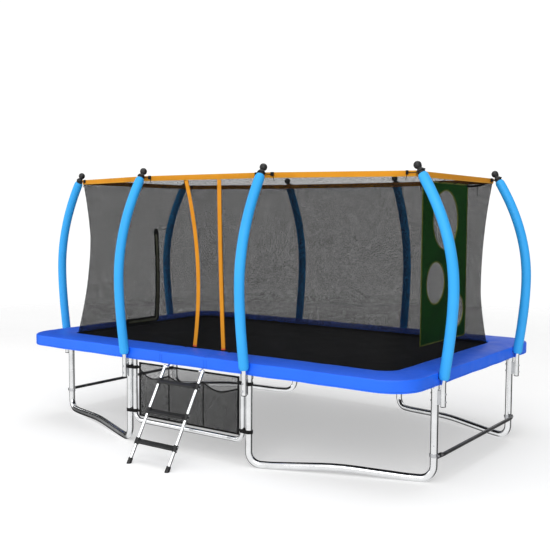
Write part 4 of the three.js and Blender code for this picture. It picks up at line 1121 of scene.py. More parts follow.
def make_zip():
    """The triangle that the zip frees, and the zip itself."""
    over = even(ZIP_END_Y, ZIP_Y, NET_STEP / 2)
    build = Build()
    net_patch(build, LEFT, left_share(over), ZIP_BOTTOM, zip_diagonal(over), np.linspace(0, 1, 26))
    flap = build.piece("zip_flap_net", NET, merge=0.0002)
    zip_blend(flap)
    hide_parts("zip_door")
    line = zip_line()
    flat = np.stack([left_share(line[:, 0]) * LEFT.width, line[:, 1]], 1)
    ahead = unit(np.gradient(flat, axis=0))
    outside = np.stack([ahead[:, 1], -ahead[:, 0]], 1)
    if outside[0, 1] > 0:
        outside = -outside
    fixed, loose = Build(), Build()
    for half, away in ((fixed, 1), (loose, -1)):
        middle = flat + outside * away * 0.0190
        net_ribbon(half, LEFT, middle[:, 0] / LEFT.width, middle[:, 1], 0.0350, -0.0018, 0.0018)
        chain = flat + outside * away * 0.0078
        net_ribbon(half, LEFT, chain[:, 0] / LEFT.width, chain[:, 1],
                   0.0130, -0.0024, 0.0024, slot=2)
    run = lengths(line)
    for number, place in enumerate(np.arange(0.01, run[-1] - 0.004, 0.006)):
        spot = [np.interp(place, run, flat[:, k]) for k in (0, 1)]
        side = [np.interp(place, run, outside[:, k]) for k in (0, 1)]
        away = 1 if number % 2 else -1
        middle = np.array(spot) + np.array(side) * away * 0.0006
        centre = LEFT.point(middle[0] / LEFT.width, middle[1], 0.0)
        step = LEFT.point((middle[0] + side[0] * 0.001) / LEFT.width,
                          middle[1] + side[1] * 0.001, 0.0)
        sideways = unit(step - centre)
        onward = unit(np.cross(sideways, [1.0, 0, 0]))
        axes = (sideways, onward, np.cross(sideways, onward))
        (fixed if away > 0 else loose).block(centre, (0.0044, 0.0026, 0.0060), axes, 0.0006, slot=1)
    for y, height in ((ZIP_END_Y, ZIP_BOTTOM), (ZIP_Y, ZIP_TOP + 0.004)):
        ends = left_share(np.array([y - 0.030, y + 0.030]))
        net_ribbon(fixed, LEFT, ends, [height, height], 0.060, -0.0030, 0.0030)
    tape = fixed.piece("zip_tape_fixed", [BINDING, ZINC, ZIP_CHAIN], "frame")
    tape = loose.piece("zip_tape_loose", [BINDING, ZINC, ZIP_CHAIN])
    zip_blend(tape)
    return flap


def make_zip_slider():
    """Slider with its pull tab, in the space of the CAD block."""
    low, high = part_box("zip_slider")
    middle, size = (low + high) / 2, high - low
    build = Build()
    build.block(middle, (size.x * 0.9, size.y, size.z * 0.8), bevel=0.002)
    build.block(middle + Vector((-size.x * 0.45, 0, 0)), (0.0024, 0.005, size.z * 0.5), bevel=0.001)
    turn = np.linspace(0, 2 * math.pi, 20, endpoint=False)
    hang = middle + Vector((-size.x * 0.62, 0, -0.014))
    ring = [hang + Vector((0, 0.0055 * math.cos(a), 0.0080 * math.sin(a))) for a in turn]
    build.tube(ring, 0.0011, 8, closed=True)
    build.block(hang + Vector((0, 0, -0.018)), (0.0022, 0.0095, 0.024), bevel=0.0010, slot=1)
    piece = build.piece("zip_pull_tab", [ZINC, PLASTIC], "zip_pull")
    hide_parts("zip_slider")


# ---------------------------------------------------------------- mat, springs and pad


def rounded_outline(half_x, half_y, radius, step):
    """Rounded rectangle in plan, from the middle of the front, as even points."""
    corners = [(half_x, -half_y), (half_x, half_y), (-half_x, half_y), (-half_x, -half_y)]
    loop = [(x, y, 0) for x, y in [(0, -half_y), *corners, (0, -half_y)]]
    line = rounded_path(loop, [radius] * 4, math.radians(6))
    return resampled(line, step)[:-1, :2]


HEM_STEP = 0.0018  # the doubled hem stands this far over the mat's field
MAT_FIELD = 0.9712  # the field's outline, as a share of the mat's
MAT_EDGE = (  # (share of the outline, depth below the top) from the lower edge over the hem
    (1.0, 0.0055), (1.0006, 0.003), (1.0, 0.0005), (0.9985, 0.0),
    (0.972, 0.0), (MAT_FIELD, HEM_STEP),
)


def make_mat():
    """Woven mat: a flat field inside a doubled hem, with stitching."""
    build = Build()
    outline = rounded_outline(MAT_X, MAT_Y, MAT_R, 0.035)
    top = MAT_TOP
    rings = []
    for share, drop in MAT_EDGE:
        rings.append([at(x * share, y * share, top - drop) for x, y in outline])
    inner = np.array(outline) * MAT_FIELD
    for share in np.linspace(0.96, 0.04, 22):
        rings.append([
            at(x * share, y * share,
               top - HEM_STEP + ripple((x * share, y * share, 0), 0.4, 0.0009))
            for x, y in inner])
    start = build.grid(rings, closed_cols=True)
    count = len(outline)
    centre = start + (len(rings) - 1) * count
    build.cap(range(centre, centre + count))
    under = [[at(x * s, y * s, top - 0.0058) for x, y in outline] for s in (1.0, 0.5, 0.04)]
    low = build.grid(under, closed_cols=True, flip=True)
    build.cap(range(low + 2 * count, low + 3 * count), flip=True)
    # the weave runs along X and Y all over the mat
    build.uvs = [[build.verts[v][:2] for v in face] for face in build.faces]
    mat = build.piece("mat", MAT, "mat", merge=0.0004)
    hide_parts("jumping_mat")
    trim = Build()
    for share in (0.9955, 0.9870, 0.9790):
        outline = rounded_outline(MAT_X, MAT_Y, MAT_R, 0.02)
        line = np.array([at(x * share, y * share, top + 0.0004) for x, y in outline])
        trim.sweep(line, circle(0.0009, 6), closed=True)
    stitches = trim.piece("mat_stitching", THREAD, "mat")


SPRING_PITCH = 0.128
SPRING_Z = RAIL_Z + 0.012
SPRING_HOOK = ((-0.012, 0), (0, 0.006), (0.010, 0.004), (0.012, -0.006))  # (along, up) from its end
SPRING_EYE = ((0.012, 0), (0, 0.005), (-0.006, 0), (-0.004, -0.006))


def spring_places():
    """Matching points on the mat's edge and on the frame, all round."""
    mat_line = rounded_outline(MAT_X, MAT_Y, MAT_R, 0.01)
    frame_line = rounded_outline(FRAME_X, FRAME_Y, FRAME_R, 0.01)
    mat_loop = np.vstack([mat_line, mat_line[:1]])
    frame_loop = np.vstack([frame_line, frame_line[:1]])
    mat_run = lengths(mat_loop)
    frame_run = np.linspace(0, 1, len(frame_loop))
    count = round(mat_run[-1] / SPRING_PITCH)
    pairs = []
    for k in range(count):
        share = (k + 0.5) / count
        a = np.array([np.interp(share * mat_run[-1], mat_run, mat_loop[:, i]) for i in (0, 1)])
        b = np.array([np.interp(share, frame_run, frame_loop[:, i]) for i in (0, 1)])
        straight_x, straight_y = MAT_X - MAT_R, MAT_Y - MAT_R
        if abs(a[0]) < straight_x:
            b[0] = a[0] if abs(a[0]) < straight_x - 0.25 else a[0] * 0.5 + b[0] * 0.5
        elif abs(a[1]) < straight_y:
            b[1] = a[1] if abs(a[1]) < straight_y - 0.25 else a[1] * 0.5 + b[1] * 0.5
        pairs.append((a, b))
    return pairs


def make_springs():
    """Hooked coil springs in four groups, each stretching between the frame and the mat."""
    groups = {"front": [], "right": [], "back": [], "left": []}
    for a, b in spring_places():
        if abs(a[1]) >= MAT_Y - 0.06:
            groups["front" if a[1] < 0 else "back"].append((a, b))
        else:
            groups["right" if a[0] > 0 else "left"].append((a, b))
    turns, per_turn = 17, 9
    for name, members in groups.items():
        build, rings = Build(), Build()
        for a, b in members:
            out = unit(b - a)
            start = np.array(at(*(a + out * 0.026), MAT_TOP - 0.004))
            end = np.array(at(*(b - out * (RAIL_R + 0.004)), SPRING_Z))
            axis = unit(end - start)
            side = unit(np.cross(axis, [0, 0, 1.0]))
            up = np.cross(side, axis)
            coil_from, coil_to = start + axis * 0.018, end - axis * 0.020
            angle = np.linspace(0, 2 * math.pi * turns, turns * per_turn + 1)
            share = angle[:, None] / angle[-1]
            swell = 0.0105 * np.clip(np.minimum(share, 1 - share) * 14 + 0.25, 0, 1)
            coil = coil_from + (coil_to - coil_from) * share + swell * (
                side * np.cos(angle)[:, None] + up * np.sin(angle)[:, None])
            hook = [end + axis * a + up * b for a, b in SPRING_HOOK]
            eye = [start + axis * a + up * b for a, b in SPRING_EYE]
            build.tube(np.concatenate([np.array(eye)[::-1], coil, np.array(hook)]), 0.0016, 5)
            ring_middle = np.array(at(*(a + out * 0.010), MAT_TOP - 0.005))
            tip = start - axis * 0.002
            tri = [ring_middle + side * 0.022, ring_middle - side * 0.022, tip]
            rings.tube(rounded_path([*tri, tri[0], tri[1]], [0.004] * 3, 0.6)[1:-4],
                       0.0018, 6, closed=True)
            loop = np.array([
                at(*(a + out * 0.012), MAT_TOP - 0.001),
                at(*(a - out * 0.050), MAT_TOP + 0.0012),
            ])
            rings.sweep(resampled(loop, 0.02), bar(0.032, 0.0016), side=side, slot=1)
        springs = build.piece("springs_" + name, SPRING_STEEL)
        far = {"front": (0, -1), "right": (1, 0), "back": (0, 1), "left": (-1, 0)}[name]
        start = at(far[0] * (FRAME_X - 0.04), far[1] * (FRAME_Y - 0.04), 0.83)
        end = at(far[0] * (MAT_X + 0.02), far[1] * (MAT_Y + 0.02), 0.83)
        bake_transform(springs)
        rings.piece("mat_rings_" + name, [ZINC, MAT_HEM], "mat")


PAD_SEAMS_X = (-0.263, 0.244)  # sewn joins on the two long sides
PAD_ROUND = 0.018
FLAP_PROUD = 0.004  # the length of skirt behind the ladder lies over its neighbours
PAD_PRESSURE, PAD_SWELL, PAD_FRAMES = 5.0, 0.009, 16


def seam_share(x, y):
    """1 on a sewn join between two lengths of pad, falling to 0 beside it."""
    if abs(y) < PAD_IN_Y - 0.01:
        return 0.0
    return math.exp(-((min(abs(x - s) for s in PAD_SEAMS_X) / 0.010) ** 2))


def pad_profile():
    """Cross-section as (share from inner to outer edge, height, part of the cover)."""
    middle, width = PAD_TOP - PAD_THICK / 2, PAD_OUT + FRAME_X - PAD_IN_X
    profile = []
    for step in range(7):
        angle = -math.pi / 2 - math.pi * step / 6
        profile.append((0.045 + 0.045 * math.cos(angle),
                        middle + PAD_THICK / 2 * math.sin(angle), "edge"))
    round_share = PAD_ROUND / width
    for share in np.linspace(0.11, 1 - round_share - 0.02, 13):
        profile.append((share, PAD_TOP, "top"))
    for step in range(5):
        angle = math.pi / 2 * step / 4
        share = 1 - round_share * (1 - math.sin(angle))
        profile.append((share, PAD_TOP - PAD_ROUND * (1 - math.cos(angle)), "edge"))
    thin = SKIRT_THICK / width
    for height in np.linspace(PAD_TOP - PAD_ROUND - 0.012, SKIRT_BOTTOM + 0.010, 6):
        profile.append((1.0, height, "skirt"))
    for share, height in ((1.0, 0.002), (1 - thin / 2, 0.0), (1 - thin, 0.002)):
        profile.append((share, SKIRT_BOTTOM + height, "skirt"))
    for height in np.linspace(SKIRT_BOTTOM + 0.02, PAD_TOP - PAD_THICK - 0.004, 4):
        profile.append((1 - thin, height, "inside"))
    for share in np.linspace(1 - thin * 1.6, 0.12, 7):
        profile.append((share, PAD_TOP - PAD_THICK, "under"))
    return profile


def pad_inner_point(x, y):
    """Point of the pad's inner edge that faces a point of its outer edge."""
    if abs(x) <= FRAME_X - FRAME_R and abs(y) > FRAME_Y:
        return x * (PAD_IN_X - PAD_IN_R) / (FRAME_X - FRAME_R), math.copysign(PAD_IN_Y, y)
    if abs(y) <= FRAME_Y - FRAME_R:
        return math.copysign(PAD_IN_X, x), y * (PAD_IN_Y - PAD_IN_R) / (FRAME_Y - FRAME_R)
    away = unit([x - math.copysign(FRAME_X - FRAME_R, x), y - math.copysign(FRAME_Y - FRAME_R, y)])
    return (math.copysign(PAD_IN_X - PAD_IN_R, x) + away[0] * PAD_IN_R,
            math.copysign(PAD_IN_Y - PAD_IN_R, y) + away[1] * PAD_IN_R)


def clear_of_poles(x, y, height):
    """The same plan point, moved inward where a foam sleeve or a pole presses into the pad."""
    for _, px, py, out in POSTS:
        middle = Vector((px + out[0] * 0.0715, py + out[1] * 0.0715))
        offset = Vector((x, y)) - middle
        keep = FOAM_R + 0.0022 if height > FOAM_BOTTOM - 0.004 else POLE_R + 0.002
        if offset.length < keep + 0.02:
            inward = Vector((-out[0], -out[1]))
            side = offset - inward * offset.dot(inward)
            reach = math.sqrt(max(0.0, keep**2 - side.length_squared))
            spot = middle + side + inward * max(offset.dot(inward), reach)
            x, y = spot.x, spot.y
    return x, y


def pad_point(ox, oy, share, height, part):
    """Place of one profile point on the radius through an outer edge point."""
    ix, iy = pad_inner_point(ox, oy)
    x, y = ix + (ox - ix) * share, iy + (oy - iy) * share
    seam = seam_share(x, y)
    if part in ("top", "under", "edge") and share < 0.99:
        crown = 0.0035 * math.sin(math.pi * share) ** 0.6
        puff = crown + ripple((x, y, 0.3), 0.16, 0.0024) + ripple((x, y, 7.7), 0.05, 0.0007)
        over = height > PAD_TOP - PAD_THICK / 2
        height += (puff - 0.008 * seam - 0.003 if over
                   else (0.004 * seam - puff * 0.5) * (share > 0.1))
    else:
        low = (PAD_TOP - height) / (PAD_TOP - SKIRT_BOTTOM)
        wave = low * (ripple((x, y, 2.0), 0.22, 0.005) + ripple((x, y, 5.0), 0.07, 0.0012))
        proud = FLAP_PROUD if y < -FRAME_Y and PAD_SEAMS_X[0] < x < PAD_SEAMS_X[1] else 0.0
        away = unit([ox - ix, oy - iy]) * (wave + proud - 0.0025 * low - 0.002 * seam)
        x, y = x + away[0], y + away[1]
        height += ripple((x, y, 9.0), 0.3, 0.004) * (height < SKIRT_BOTTOM + 0.05)
    return at(*clear_of_poles(x, y, height), height)


def swell(piece, held, pressure, cap, frames):
    """Blow a closed cover up by cloth simulation, holding some vertices, and keep the result."""
    mesh = piece.data
    rest = np.empty(len(mesh.vertices) * 3)
    mesh.vertices.foreach_get("co", rest)
    rest = rest.reshape(-1, 3)
    group = piece.vertex_groups.new(name="held")
    group.add([int(k) for k in np.flatnonzero(held)], 1.0, "REPLACE")
    cloth = piece.modifiers.new("cloth", "CLOTH")
    cloth.settings.quality = 4
    cloth.settings.mass = 0.25
    cloth.settings.tension_stiffness = cloth.settings.compression_stiffness = 12
    cloth.settings.shear_stiffness = 4
    cloth.settings.bending_stiffness = 0.6
    cloth.settings.vertex_group_mass = group.name
    cloth.settings.use_pressure = True
    cloth.settings.uniform_pressure_force = pressure
    cloth.settings.effector_weights.gravity = 0
    cloth.point_cache.frame_end = frames
    for number in range(1, frames + 1):
        bpy.context.scene.frame_set(number)
    blown = piece.evaluated_get(bpy.context.evaluated_depsgraph_get()).data
    moved = np.empty(rest.size)
    blown.vertices.foreach_get("co", moved)
    step = moved.reshape(-1, 3) - rest
    far = np.linalg.norm(step, axis=1, keepdims=True)
    rest += step * np.minimum(1.0, cap / np.maximum(far, 1e-9))
    piece.modifiers.remove(cloth)
    piece.vertex_groups.remove(group)
    mesh.vertices.foreach_set("co", rest.ravel())
    mesh.update()
    bpy.context.scene.frame_set(1)


def make_pad():
    """Padded ring with a hanging skirt: crowned between its seams and dented by the poles."""
    outer = rounded_outline(FRAME_X + PAD_OUT, FRAME_Y + PAD_OUT, FRAME_R + PAD_OUT, 0.018)
    profile = pad_profile()
    columns = [[pad_point(ox, oy, *place) for place in profile] for ox, oy in outer]
    build = Build()
    build.grid(np.array(columns), closed_rows=True, closed_cols=True)
    # slot 0, the top, takes the darker copy of the cloth (painted shade); slot 1, the skirt and lower
    # edge, takes the brighter copy (painted light)
    kinds = [2 if part in ("inside", "under") else int(height < PAD_TOP - 0.004 or share > 0.999)
             for share, height, part in profile]
    build.slots = [kinds[k % len(kinds)] for k in range(len(build.faces))]
    pad = build.piece("pad", [PAD_CLOTH_SHADED_TOP, PAD_CLOTH_LIT_SKIRT, PAD_BACKING], "frame", sharp=75)
    free = np.array([part == "top" for *_, part in profile])
    seams = np.array([[seam_share(v.x, v.y - CENTRE_Y) > 0.3 for v in column]
                      for column in columns])
    held = ~np.broadcast_to(free, seams.shape) | seams
    swell(pad, held.ravel(), PAD_PRESSURE, PAD_SWELL, PAD_FRAMES)
    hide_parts("spring_pad")
    fold = pad.modifiers.new("smooth", "SUBSURF")
    fold.levels = fold.render_levels = 1
    make_pad_stitching(outer)


def make_pad_stitching(outer):
    """Rows of thread beside each join and along the skirt's hem."""
    build = Build()
    for x in PAD_SEAMS_X:
        for sign in (-1, 1):
            for away in (-0.014, 0.014):
                line = [pad_point(x + away, sign * (FRAME_Y + PAD_OUT), 1.0, h, "skirt")
                        for h in np.linspace(PAD_TOP - 0.03, SKIRT_BOTTOM + 0.006, 9)]
                build.tube(np.array(line) + np.array([0, sign * 0.0006, 0]), 0.0008, 6)
    hem = []
    for ox, oy in outer:
        spot = pad_point(ox, oy, 1.0, SKIRT_BOTTOM + 0.014, "skirt")
        ix, iy = pad_inner_point(ox, oy)
        away = unit([ox - ix, oy - iy]) * 0.0006
        hem.append(spot + Vector((away[0], away[1], 0)))
    build.tube(np.array(hem), 0.0008, 6, closed=True)
    build.piece("pad_stitching", BLUE_THREAD, "frame")


# ---------------------------------------------------------------- ball target


TRIM_SECTION = (  # (through the cloth, across the trim)
    (-0.0030, -0.0060), (0.0030, -0.0060), (0.0036, 0.0),
    (0.0030, 0.0060), (-0.0030, 0.0060), (-0.0036, 0.0),
)


def make_target():
    """Hanging cloth with three bound holes."""
    rim = 56
    points = []
    for y in even(-TARGET_Y, TARGET_Y, 0.04):
        for z in even(TARGET_BOTTOM, TARGET_TOP, 0.04):
            if all(math.hypot(y - hy, z - hz) > r + 0.018 for hy, hz, r in TARGET_HOLES):
                points.append(Vector((y, z)))
    edges = []
    for hy, hz, r in TARGET_HOLES:
        start = len(points)
        points.extend(Vector(p) for p in circle(r, rim) + (hy, hz))
        edges.extend((start + k, start + (k + 1) % rim) for k in range(rim))
    verts, _, faces, *_ = delaunay_2d_cdt(points, edges, [], 0, 1e-6)

    def hang(y, z):
        """How far the target hangs out of its plane at y, z."""
        return 0.004 * noise.noise(Vector((y * 3.5, z * 1.4, 4.0))) * min(1.0, (TARGET_TOP - z) * 4)

    sheet, trim = Build(), Build()
    for side in (-1, 1):
        base = sheet.count
        sheet.verts.extend(
            tuple(at(TARGET_X + hang(*v) + side * 0.0008, v[0], v[1])) for v in verts)
        sheet.count += len(verts)
        for face in faces:
            y, z = sum((verts[k] for k in face), Vector((0, 0))) / len(face)
            if all(math.hypot(y - hy, z - hz) > r * 0.998 for hy, hz, r in TARGET_HOLES):
                order = face if side > 0 else face[::-1]
                sheet.faces.append([base + k for k in order])
                sheet.uvs.append([tuple(verts[k]) for k in order])
                sheet.slots.append(0)
    rims = [circle(r, rim) + (hy, hz) for hy, hz, r in TARGET_HOLES]
    frame_line = [
        (-TARGET_Y, TARGET_BOTTOM, 0), (TARGET_Y, TARGET_BOTTOM, 0),
        (TARGET_Y, TARGET_TOP, 0), (-TARGET_Y, TARGET_TOP, 0),
    ]
    border = resampled(np.array([*frame_line, frame_line[0]]), 0.03)[:-1, :2]
    for line in [*rims, border]:
        path = np.array([at(TARGET_X + hang(y, z), y, z) for y, z in line])
        trim.sweep(path, TRIM_SECTION, closed=True, side=(1, 0, 0))
    target = sheet.piece("target", TARGET, "frame")
    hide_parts("target_panel")
    edging = trim.piece("target_trim", LIME, "frame")


# ---------------------------------------------------------------- shoe bag

BAG_SEAMS = (-BAG_X, -0.212, 0.184, BAG_X)
BAG_SHORT_SEAM = 0.66  # top of the right seam, which ends at the elastic
POCKET_TOPS = (0.690, 0.655, 0.650, 0.640)  # heights of the elastic at the seams
POCKET_SAGS = (0.055, 0.035, 0.045)  # how far it hangs between them
BAG_STRAPS = (0.300, 0.700)  # heights of the straps round brace and leg


def make_bag():
    """Mesh bag of three pockets, with elastic that sags between the seams."""
    heights = np.linspace(BAG_BOTTOM, BAG_TOP, 16)
    across = even(-BAG_X, BAG_X, 0.03)

    def back_y(x, z):
        """Where the back of the bag lies at x, z."""
        return BAG_BACK - 0.0015 + ripple((x, 0, z), 0.3, 0.0015)

    back = Build()
    rows = [[at(x, back_y(x, z), z) for x in across] for z in heights]
    back.grid(rows, uv=np.stack(np.meshgrid(across, heights), -1))
    panel = back.piece("bag_back", BAG_MESH, "frame")
    front, trim = Build(), Build()

    def bind(points, thick, width):
        """A strip of binding along points."""
        trim.sweep(resampled(np.array(points), 0.03), bar(thick, width), side=(0, 1, 0))

    for k, (left, right) in enumerate(zip(BAG_SEAMS, BAG_SEAMS[1:])):
        shares = np.linspace(0, 1, 14)
        level = POCKET_TOPS[k] + (POCKET_TOPS[k + 1] - POCKET_TOPS[k]) * shares
        edge = level - POCKET_SAGS[k] * np.sin(math.pi * shares) ** 1.3
        belly = np.sin(math.pi * shares) ** 0.7
        grid = []
        for rise in np.linspace(0, 1, 14):
            z = BAG_BOTTOM + (edge - BAG_BOTTOM) * rise
            depth = 0.004 + (0.010 + 0.018 * rise**0.7) * belly * min(1.0, rise * 5 + 0.2)
            x = left + (right - left) * shares
            grid.append([
                at(a, BAG_BACK - 0.003 - d + ripple((a, 1, b), 0.12, 0.0012), b)
                for a, b, d in zip(x, z, depth)])
        front.grid(grid, uv=np.array(grid)[..., [0, 2]])
        trim.sweep(np.array(grid[-1]), bar(0.003, 0.013), side=(0, 1, 0))
    pockets = front.piece("bag_pockets", BAG_MESH, "frame", merge=0.0004)
    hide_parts("storage_bag")
    y = BAG_BACK - 0.004
    for x in (-BAG_X + 0.006, BAG_X - 0.006):
        bind([at(x, y, BAG_BOTTOM), at(x, y, BAG_TOP)], 0.005, 0.020)
    for x in BAG_SEAMS[1:3]:
        top = BAG_TOP if x < 0 else BAG_SHORT_SEAM
        bind([at(x, y - 0.001, BAG_BOTTOM), at(x, y - 0.001, top)], 0.004, 0.011)
    for z in (BAG_BOTTOM + 0.007, BAG_TOP - 0.007):
        bind([at(-BAG_X, y, z), at(BAG_X, y, z)], 0.005, 0.016)
    binding = trim.piece("bag_binding", BINDING, "frame")


def hull_loop(circles, count=16):
    """Tight loop round two circles that lie along X, in plan, from (x, radius) pairs."""
    (xa, ra), (xb, rb) = circles
    lean = math.asin((ra - rb) / (xb - xa))
    loop = []
    for k in range(count + 1):
        turn = math.pi / 2 - lean + (math.pi + 2 * lean) * k / count
        loop.append((xa + ra * math.cos(turn), ra * math.sin(turn)))
    for k in range(count + 1):
        turn = -math.pi / 2 + lean + (math.pi - 2 * lean) * k / count
        loop.append((xb + rb * math.cos(turn), rb * math.sin(turn)))
    return loop


def make_bag_straps():
    """Hook-and-loop straps that tie the front brace to the legs beside it."""
    build = Build()
    for sign in (-1, 1):
        for height in BAG_STRAPS:
            plan = hull_loop([(BRACE_X, BRACE_R + 0.0016), (LONG_POST_X, LEG_R + 0.0016)])
            path = [at(sign * x, -FRAME_Y + y, height) for x, y in plan]
            middle = np.array(at(sign * (BRACE_X + LONG_POST_X) / 2, -FRAME_Y, height))
            rings = []
            for point in np.array(path):
                away = unit(point - middle)
                rings.append([point + away * a + np.array([0, 0, b])
                              for a, b in bar(0.0028, 0.030)])
            build.grid(np.array(rings), closed_rows=True, closed_cols=True)
            lap = at(sign * 0.652, -FRAME_Y - 0.031, height)
            build.block(lap, (0.034, 0.005, 0.028), bevel=0.0018)
            tail = [
                at(sign * 0.600, -FRAME_Y - 0.006, height),
                at(sign * (BAG_X - 0.006), BAG_BACK - 0.004, height),
            ]
            build.sweep(np.array(tail), bar(0.0024, 0.022), side=(0, 1, 0))
    straps = build.piece("bag_straps", BINDING, "frame", sharp=60)


# ---------------------------------------------------------------- ladder

FOOT_PROFILE = (  # (radius, distance up the rail) of a rubber foot
    (0.0175, 0.048), (0.0195, 0.046), (0.0198, 0.030),
    (0.0185, 0.028), (0.0198, 0.026), (0.0200, 0.012),
)
LADDER_DOWN = unit([0, LADDER_FOOT_Y - LADDER_PIVOT_Y, -LADDER_PIVOT_Z])
HOOK_R, HOOK_WRAP = 0.0312, 200  # hook's middle line round the rail, in metres and degrees
TREAD_RIBS, RIB_PITCH = 9, 0.008


def ladder_point(x, height):
    """The point on the ladder's slope at x and height."""
    run = (LADDER_PIVOT_Z - height) / -LADDER_DOWN[2]
    return np.array(at(x, LADDER_PIVOT_Y, LADDER_PIVOT_Z)) + LADDER_DOWN * run


def make_ladder():
    """Rails, feet, treads and hooks of the ladder."""
    square = np.cross(LADDER_DOWN, [1.0, 0, 0])
    for name, sign in (("left", -1), ("right", 1)):
        x = LADDER_X + sign * LADDER_HALF
        rail = Build()
        pivot = ladder_point(x, LADDER_PIVOT_Z)
        ends = [pivot - LADDER_DOWN * 0.010, ladder_point(x, 0.013)]
        rail.tube(resampled(np.array(ends), 0.05), LADDER_RAIL_R, 24)
        proud = LADDER_RAIL_R + 0.001
        plug = [(LADDER_RAIL_R * 0.9, 0.0), (proud, 0.001),
                (proud, 0.003), (LADDER_RAIL_R * 0.8, 0.005)]
        rail.lathe(plug, ends[0], -LADDER_DOWN, 24, 2)
        rail.bolt(pivot + np.array([sign * LADDER_RAIL_R, 0, 0]), (sign, 0, 0), 0.0070, slot=1)
        piece = rail.piece("ladder_rail_" + name + "_tube", [STEEL, ZINC, PLASTIC], "ladder")
        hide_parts("ladder_rail_" + name)
        foot = Build()
        low = ladder_point(x, 0.0)
        rings = []
        for radius, run in FOOT_PROFILE:
            ring = circle(radius, 24)
            middle = low - LADDER_DOWN * run
            rings.append([middle + np.array([1, 0, 0]) * a + square * b for a, b in ring])
        level = []
        for a, b in circle(0.0200, 24):
            start = low + np.array([1, 0, 0]) * a + square * b
            level.append(start + LADDER_DOWN * (start[2] - 0.002) / -LADDER_DOWN[2])
        rings.append(level)
        sole = [p * np.array([1, 1, 0]) for p in np.array(level)]
        centre = np.mean(sole, axis=0)
        rings.append([centre + (p - centre) * 0.95 for p in sole])
        start = foot.grid(rings, closed_cols=True)
        foot.cap(range(start, start + 24), flip=True)
        foot.cap(range(start + 24 * (len(rings) - 1), start + 24 * len(rings)))
        piece = foot.piece("ladder_foot_" + name + "_cap", PLASTIC, "ladder")
        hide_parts("ladder_foot_" + name)
    for name, height in LADDER_TREADS.items():
        build = Build()
        middle = ladder_point(LADDER_X, height)
        build.block(middle, (2 * LADDER_HALF - 0.034, 0.084, 0.019), bevel=0.0045)
        for k in range(TREAD_RIBS):
            rib = middle + np.array([0, (k - TREAD_RIBS // 2) * RIB_PITCH, 0.0095])
            build.block(rib, (2 * LADDER_HALF - 0.060, 0.0034, 0.0018), bevel=0.0008)
        for sign in (-1, 1):
            centre = ladder_point(LADDER_X + sign * LADDER_HALF, height)
            profile = [
                (0.0160, -0.028), (0.0202, -0.0275), (0.0210, -0.025),
                (0.0210, 0.025), (0.0202, 0.0275), (0.0160, 0.028),
            ]
            build.lathe(profile, centre, LADDER_DOWN, 28)
            build.block(centre + np.array([-sign * 0.022, 0, 0]),
                        (0.030, 0.060, 0.026), bevel=0.004)
            for lift in (-0.015, 0.015):
                spot = centre - LADDER_DOWN * lift + np.array([sign * 0.0205, 0, 0])
                build.bolt(spot, (sign, 0, 0), 0.0042, slot=1)
        piece = build.piece("ladder_tread_" + name + "_board", [TREAD_PLASTIC, ZINC], "ladder")
        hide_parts("ladder_tread_" + name)


def make_hooks():
    """Flat bars bent over the front rail, with the ladder's pivot at their lower end."""
    for name, sign in (("left", -1), ("right", 1)):
        low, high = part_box("ladder_hook_" + name)
        x, width = (low.x + high.x) / 2, high.x - low.x
        bend = [math.radians(HOOK_WRAP * (1 - k / 18)) for k in range(19)]
        line = [(math.cos(turn) * HOOK_R, math.sin(turn) * HOOK_R) for turn in bend]
        line += [(HOOK_R, -0.020), (HOOK_R, -0.040), (HOOK_R + 0.006, -0.050),
                 (0.050, -0.058), (0.068, -0.070)]
        path = np.array([at(x, -FRAME_Y - u, RAIL_Z + w) for u, w in line])
        build = Build()
        half, ease = width / 2, 0.001
        section = [
            (-half + ease, -0.0021), (-half, -0.0010), (-half, 0.0010), (-half + ease, 0.0021),
            (half - ease, 0.0021), (half, 0.0010), (half, -0.0010), (half - ease, -0.0021),
        ]
        build.sweep(path, section, side=(1, 0, 0))
        pivot = np.array(at(x, LADDER_PIVOT_Y, LADDER_PIVOT_Z))
        lug = [(0.010, -half), (0.0125, -half + ease), (0.0125, half - ease), (0.010, half)]
        build.lathe(lug, pivot, (1, 0, 0), 28)
        build.bolt(pivot - np.array([sign * half, 0, 0]), (-sign, 0, 0), 0.0062, slot=1)
        piece = build.piece("ladder_hook_" + name + "_bar", [STEEL, ZINC], "frame")
        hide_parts("ladder_hook_" + name)


# ---------------------------------------------------------------- ties


def strap(build, points, width, thick=0.0022, side=(0, 0, 1), closed=False):
    """A flat strap along points."""
    half, ease = width / 2, thick / 3
    section = [
        (-half, -thick / 2 + ease), (-half + ease, -thick / 2),
        (half - ease, -thick / 2), (half, -thick / 2 + ease),
        (half, thick / 2 - ease), (half - ease, thick / 2),
        (-half + ease, thick / 2), (-half, thick / 2 - ease),
    ]
    build.sweep(np.array(points), section, side=side, closed=closed)


TIE_SPREAD = 0.075  # distance along the band from a pole to its two ties


def band_point(post, along):
    """Point on the band's outer face, at a distance along it from the corner by a post."""
    number = POSTS.index(post)
    side = SIDES[number] if along > 0 else SIDES[number - 1]
    share = along / side.width if along > 0 else 1 + along / side.width
    return side.point(share, NET_TOP - 0.018, 0.010)


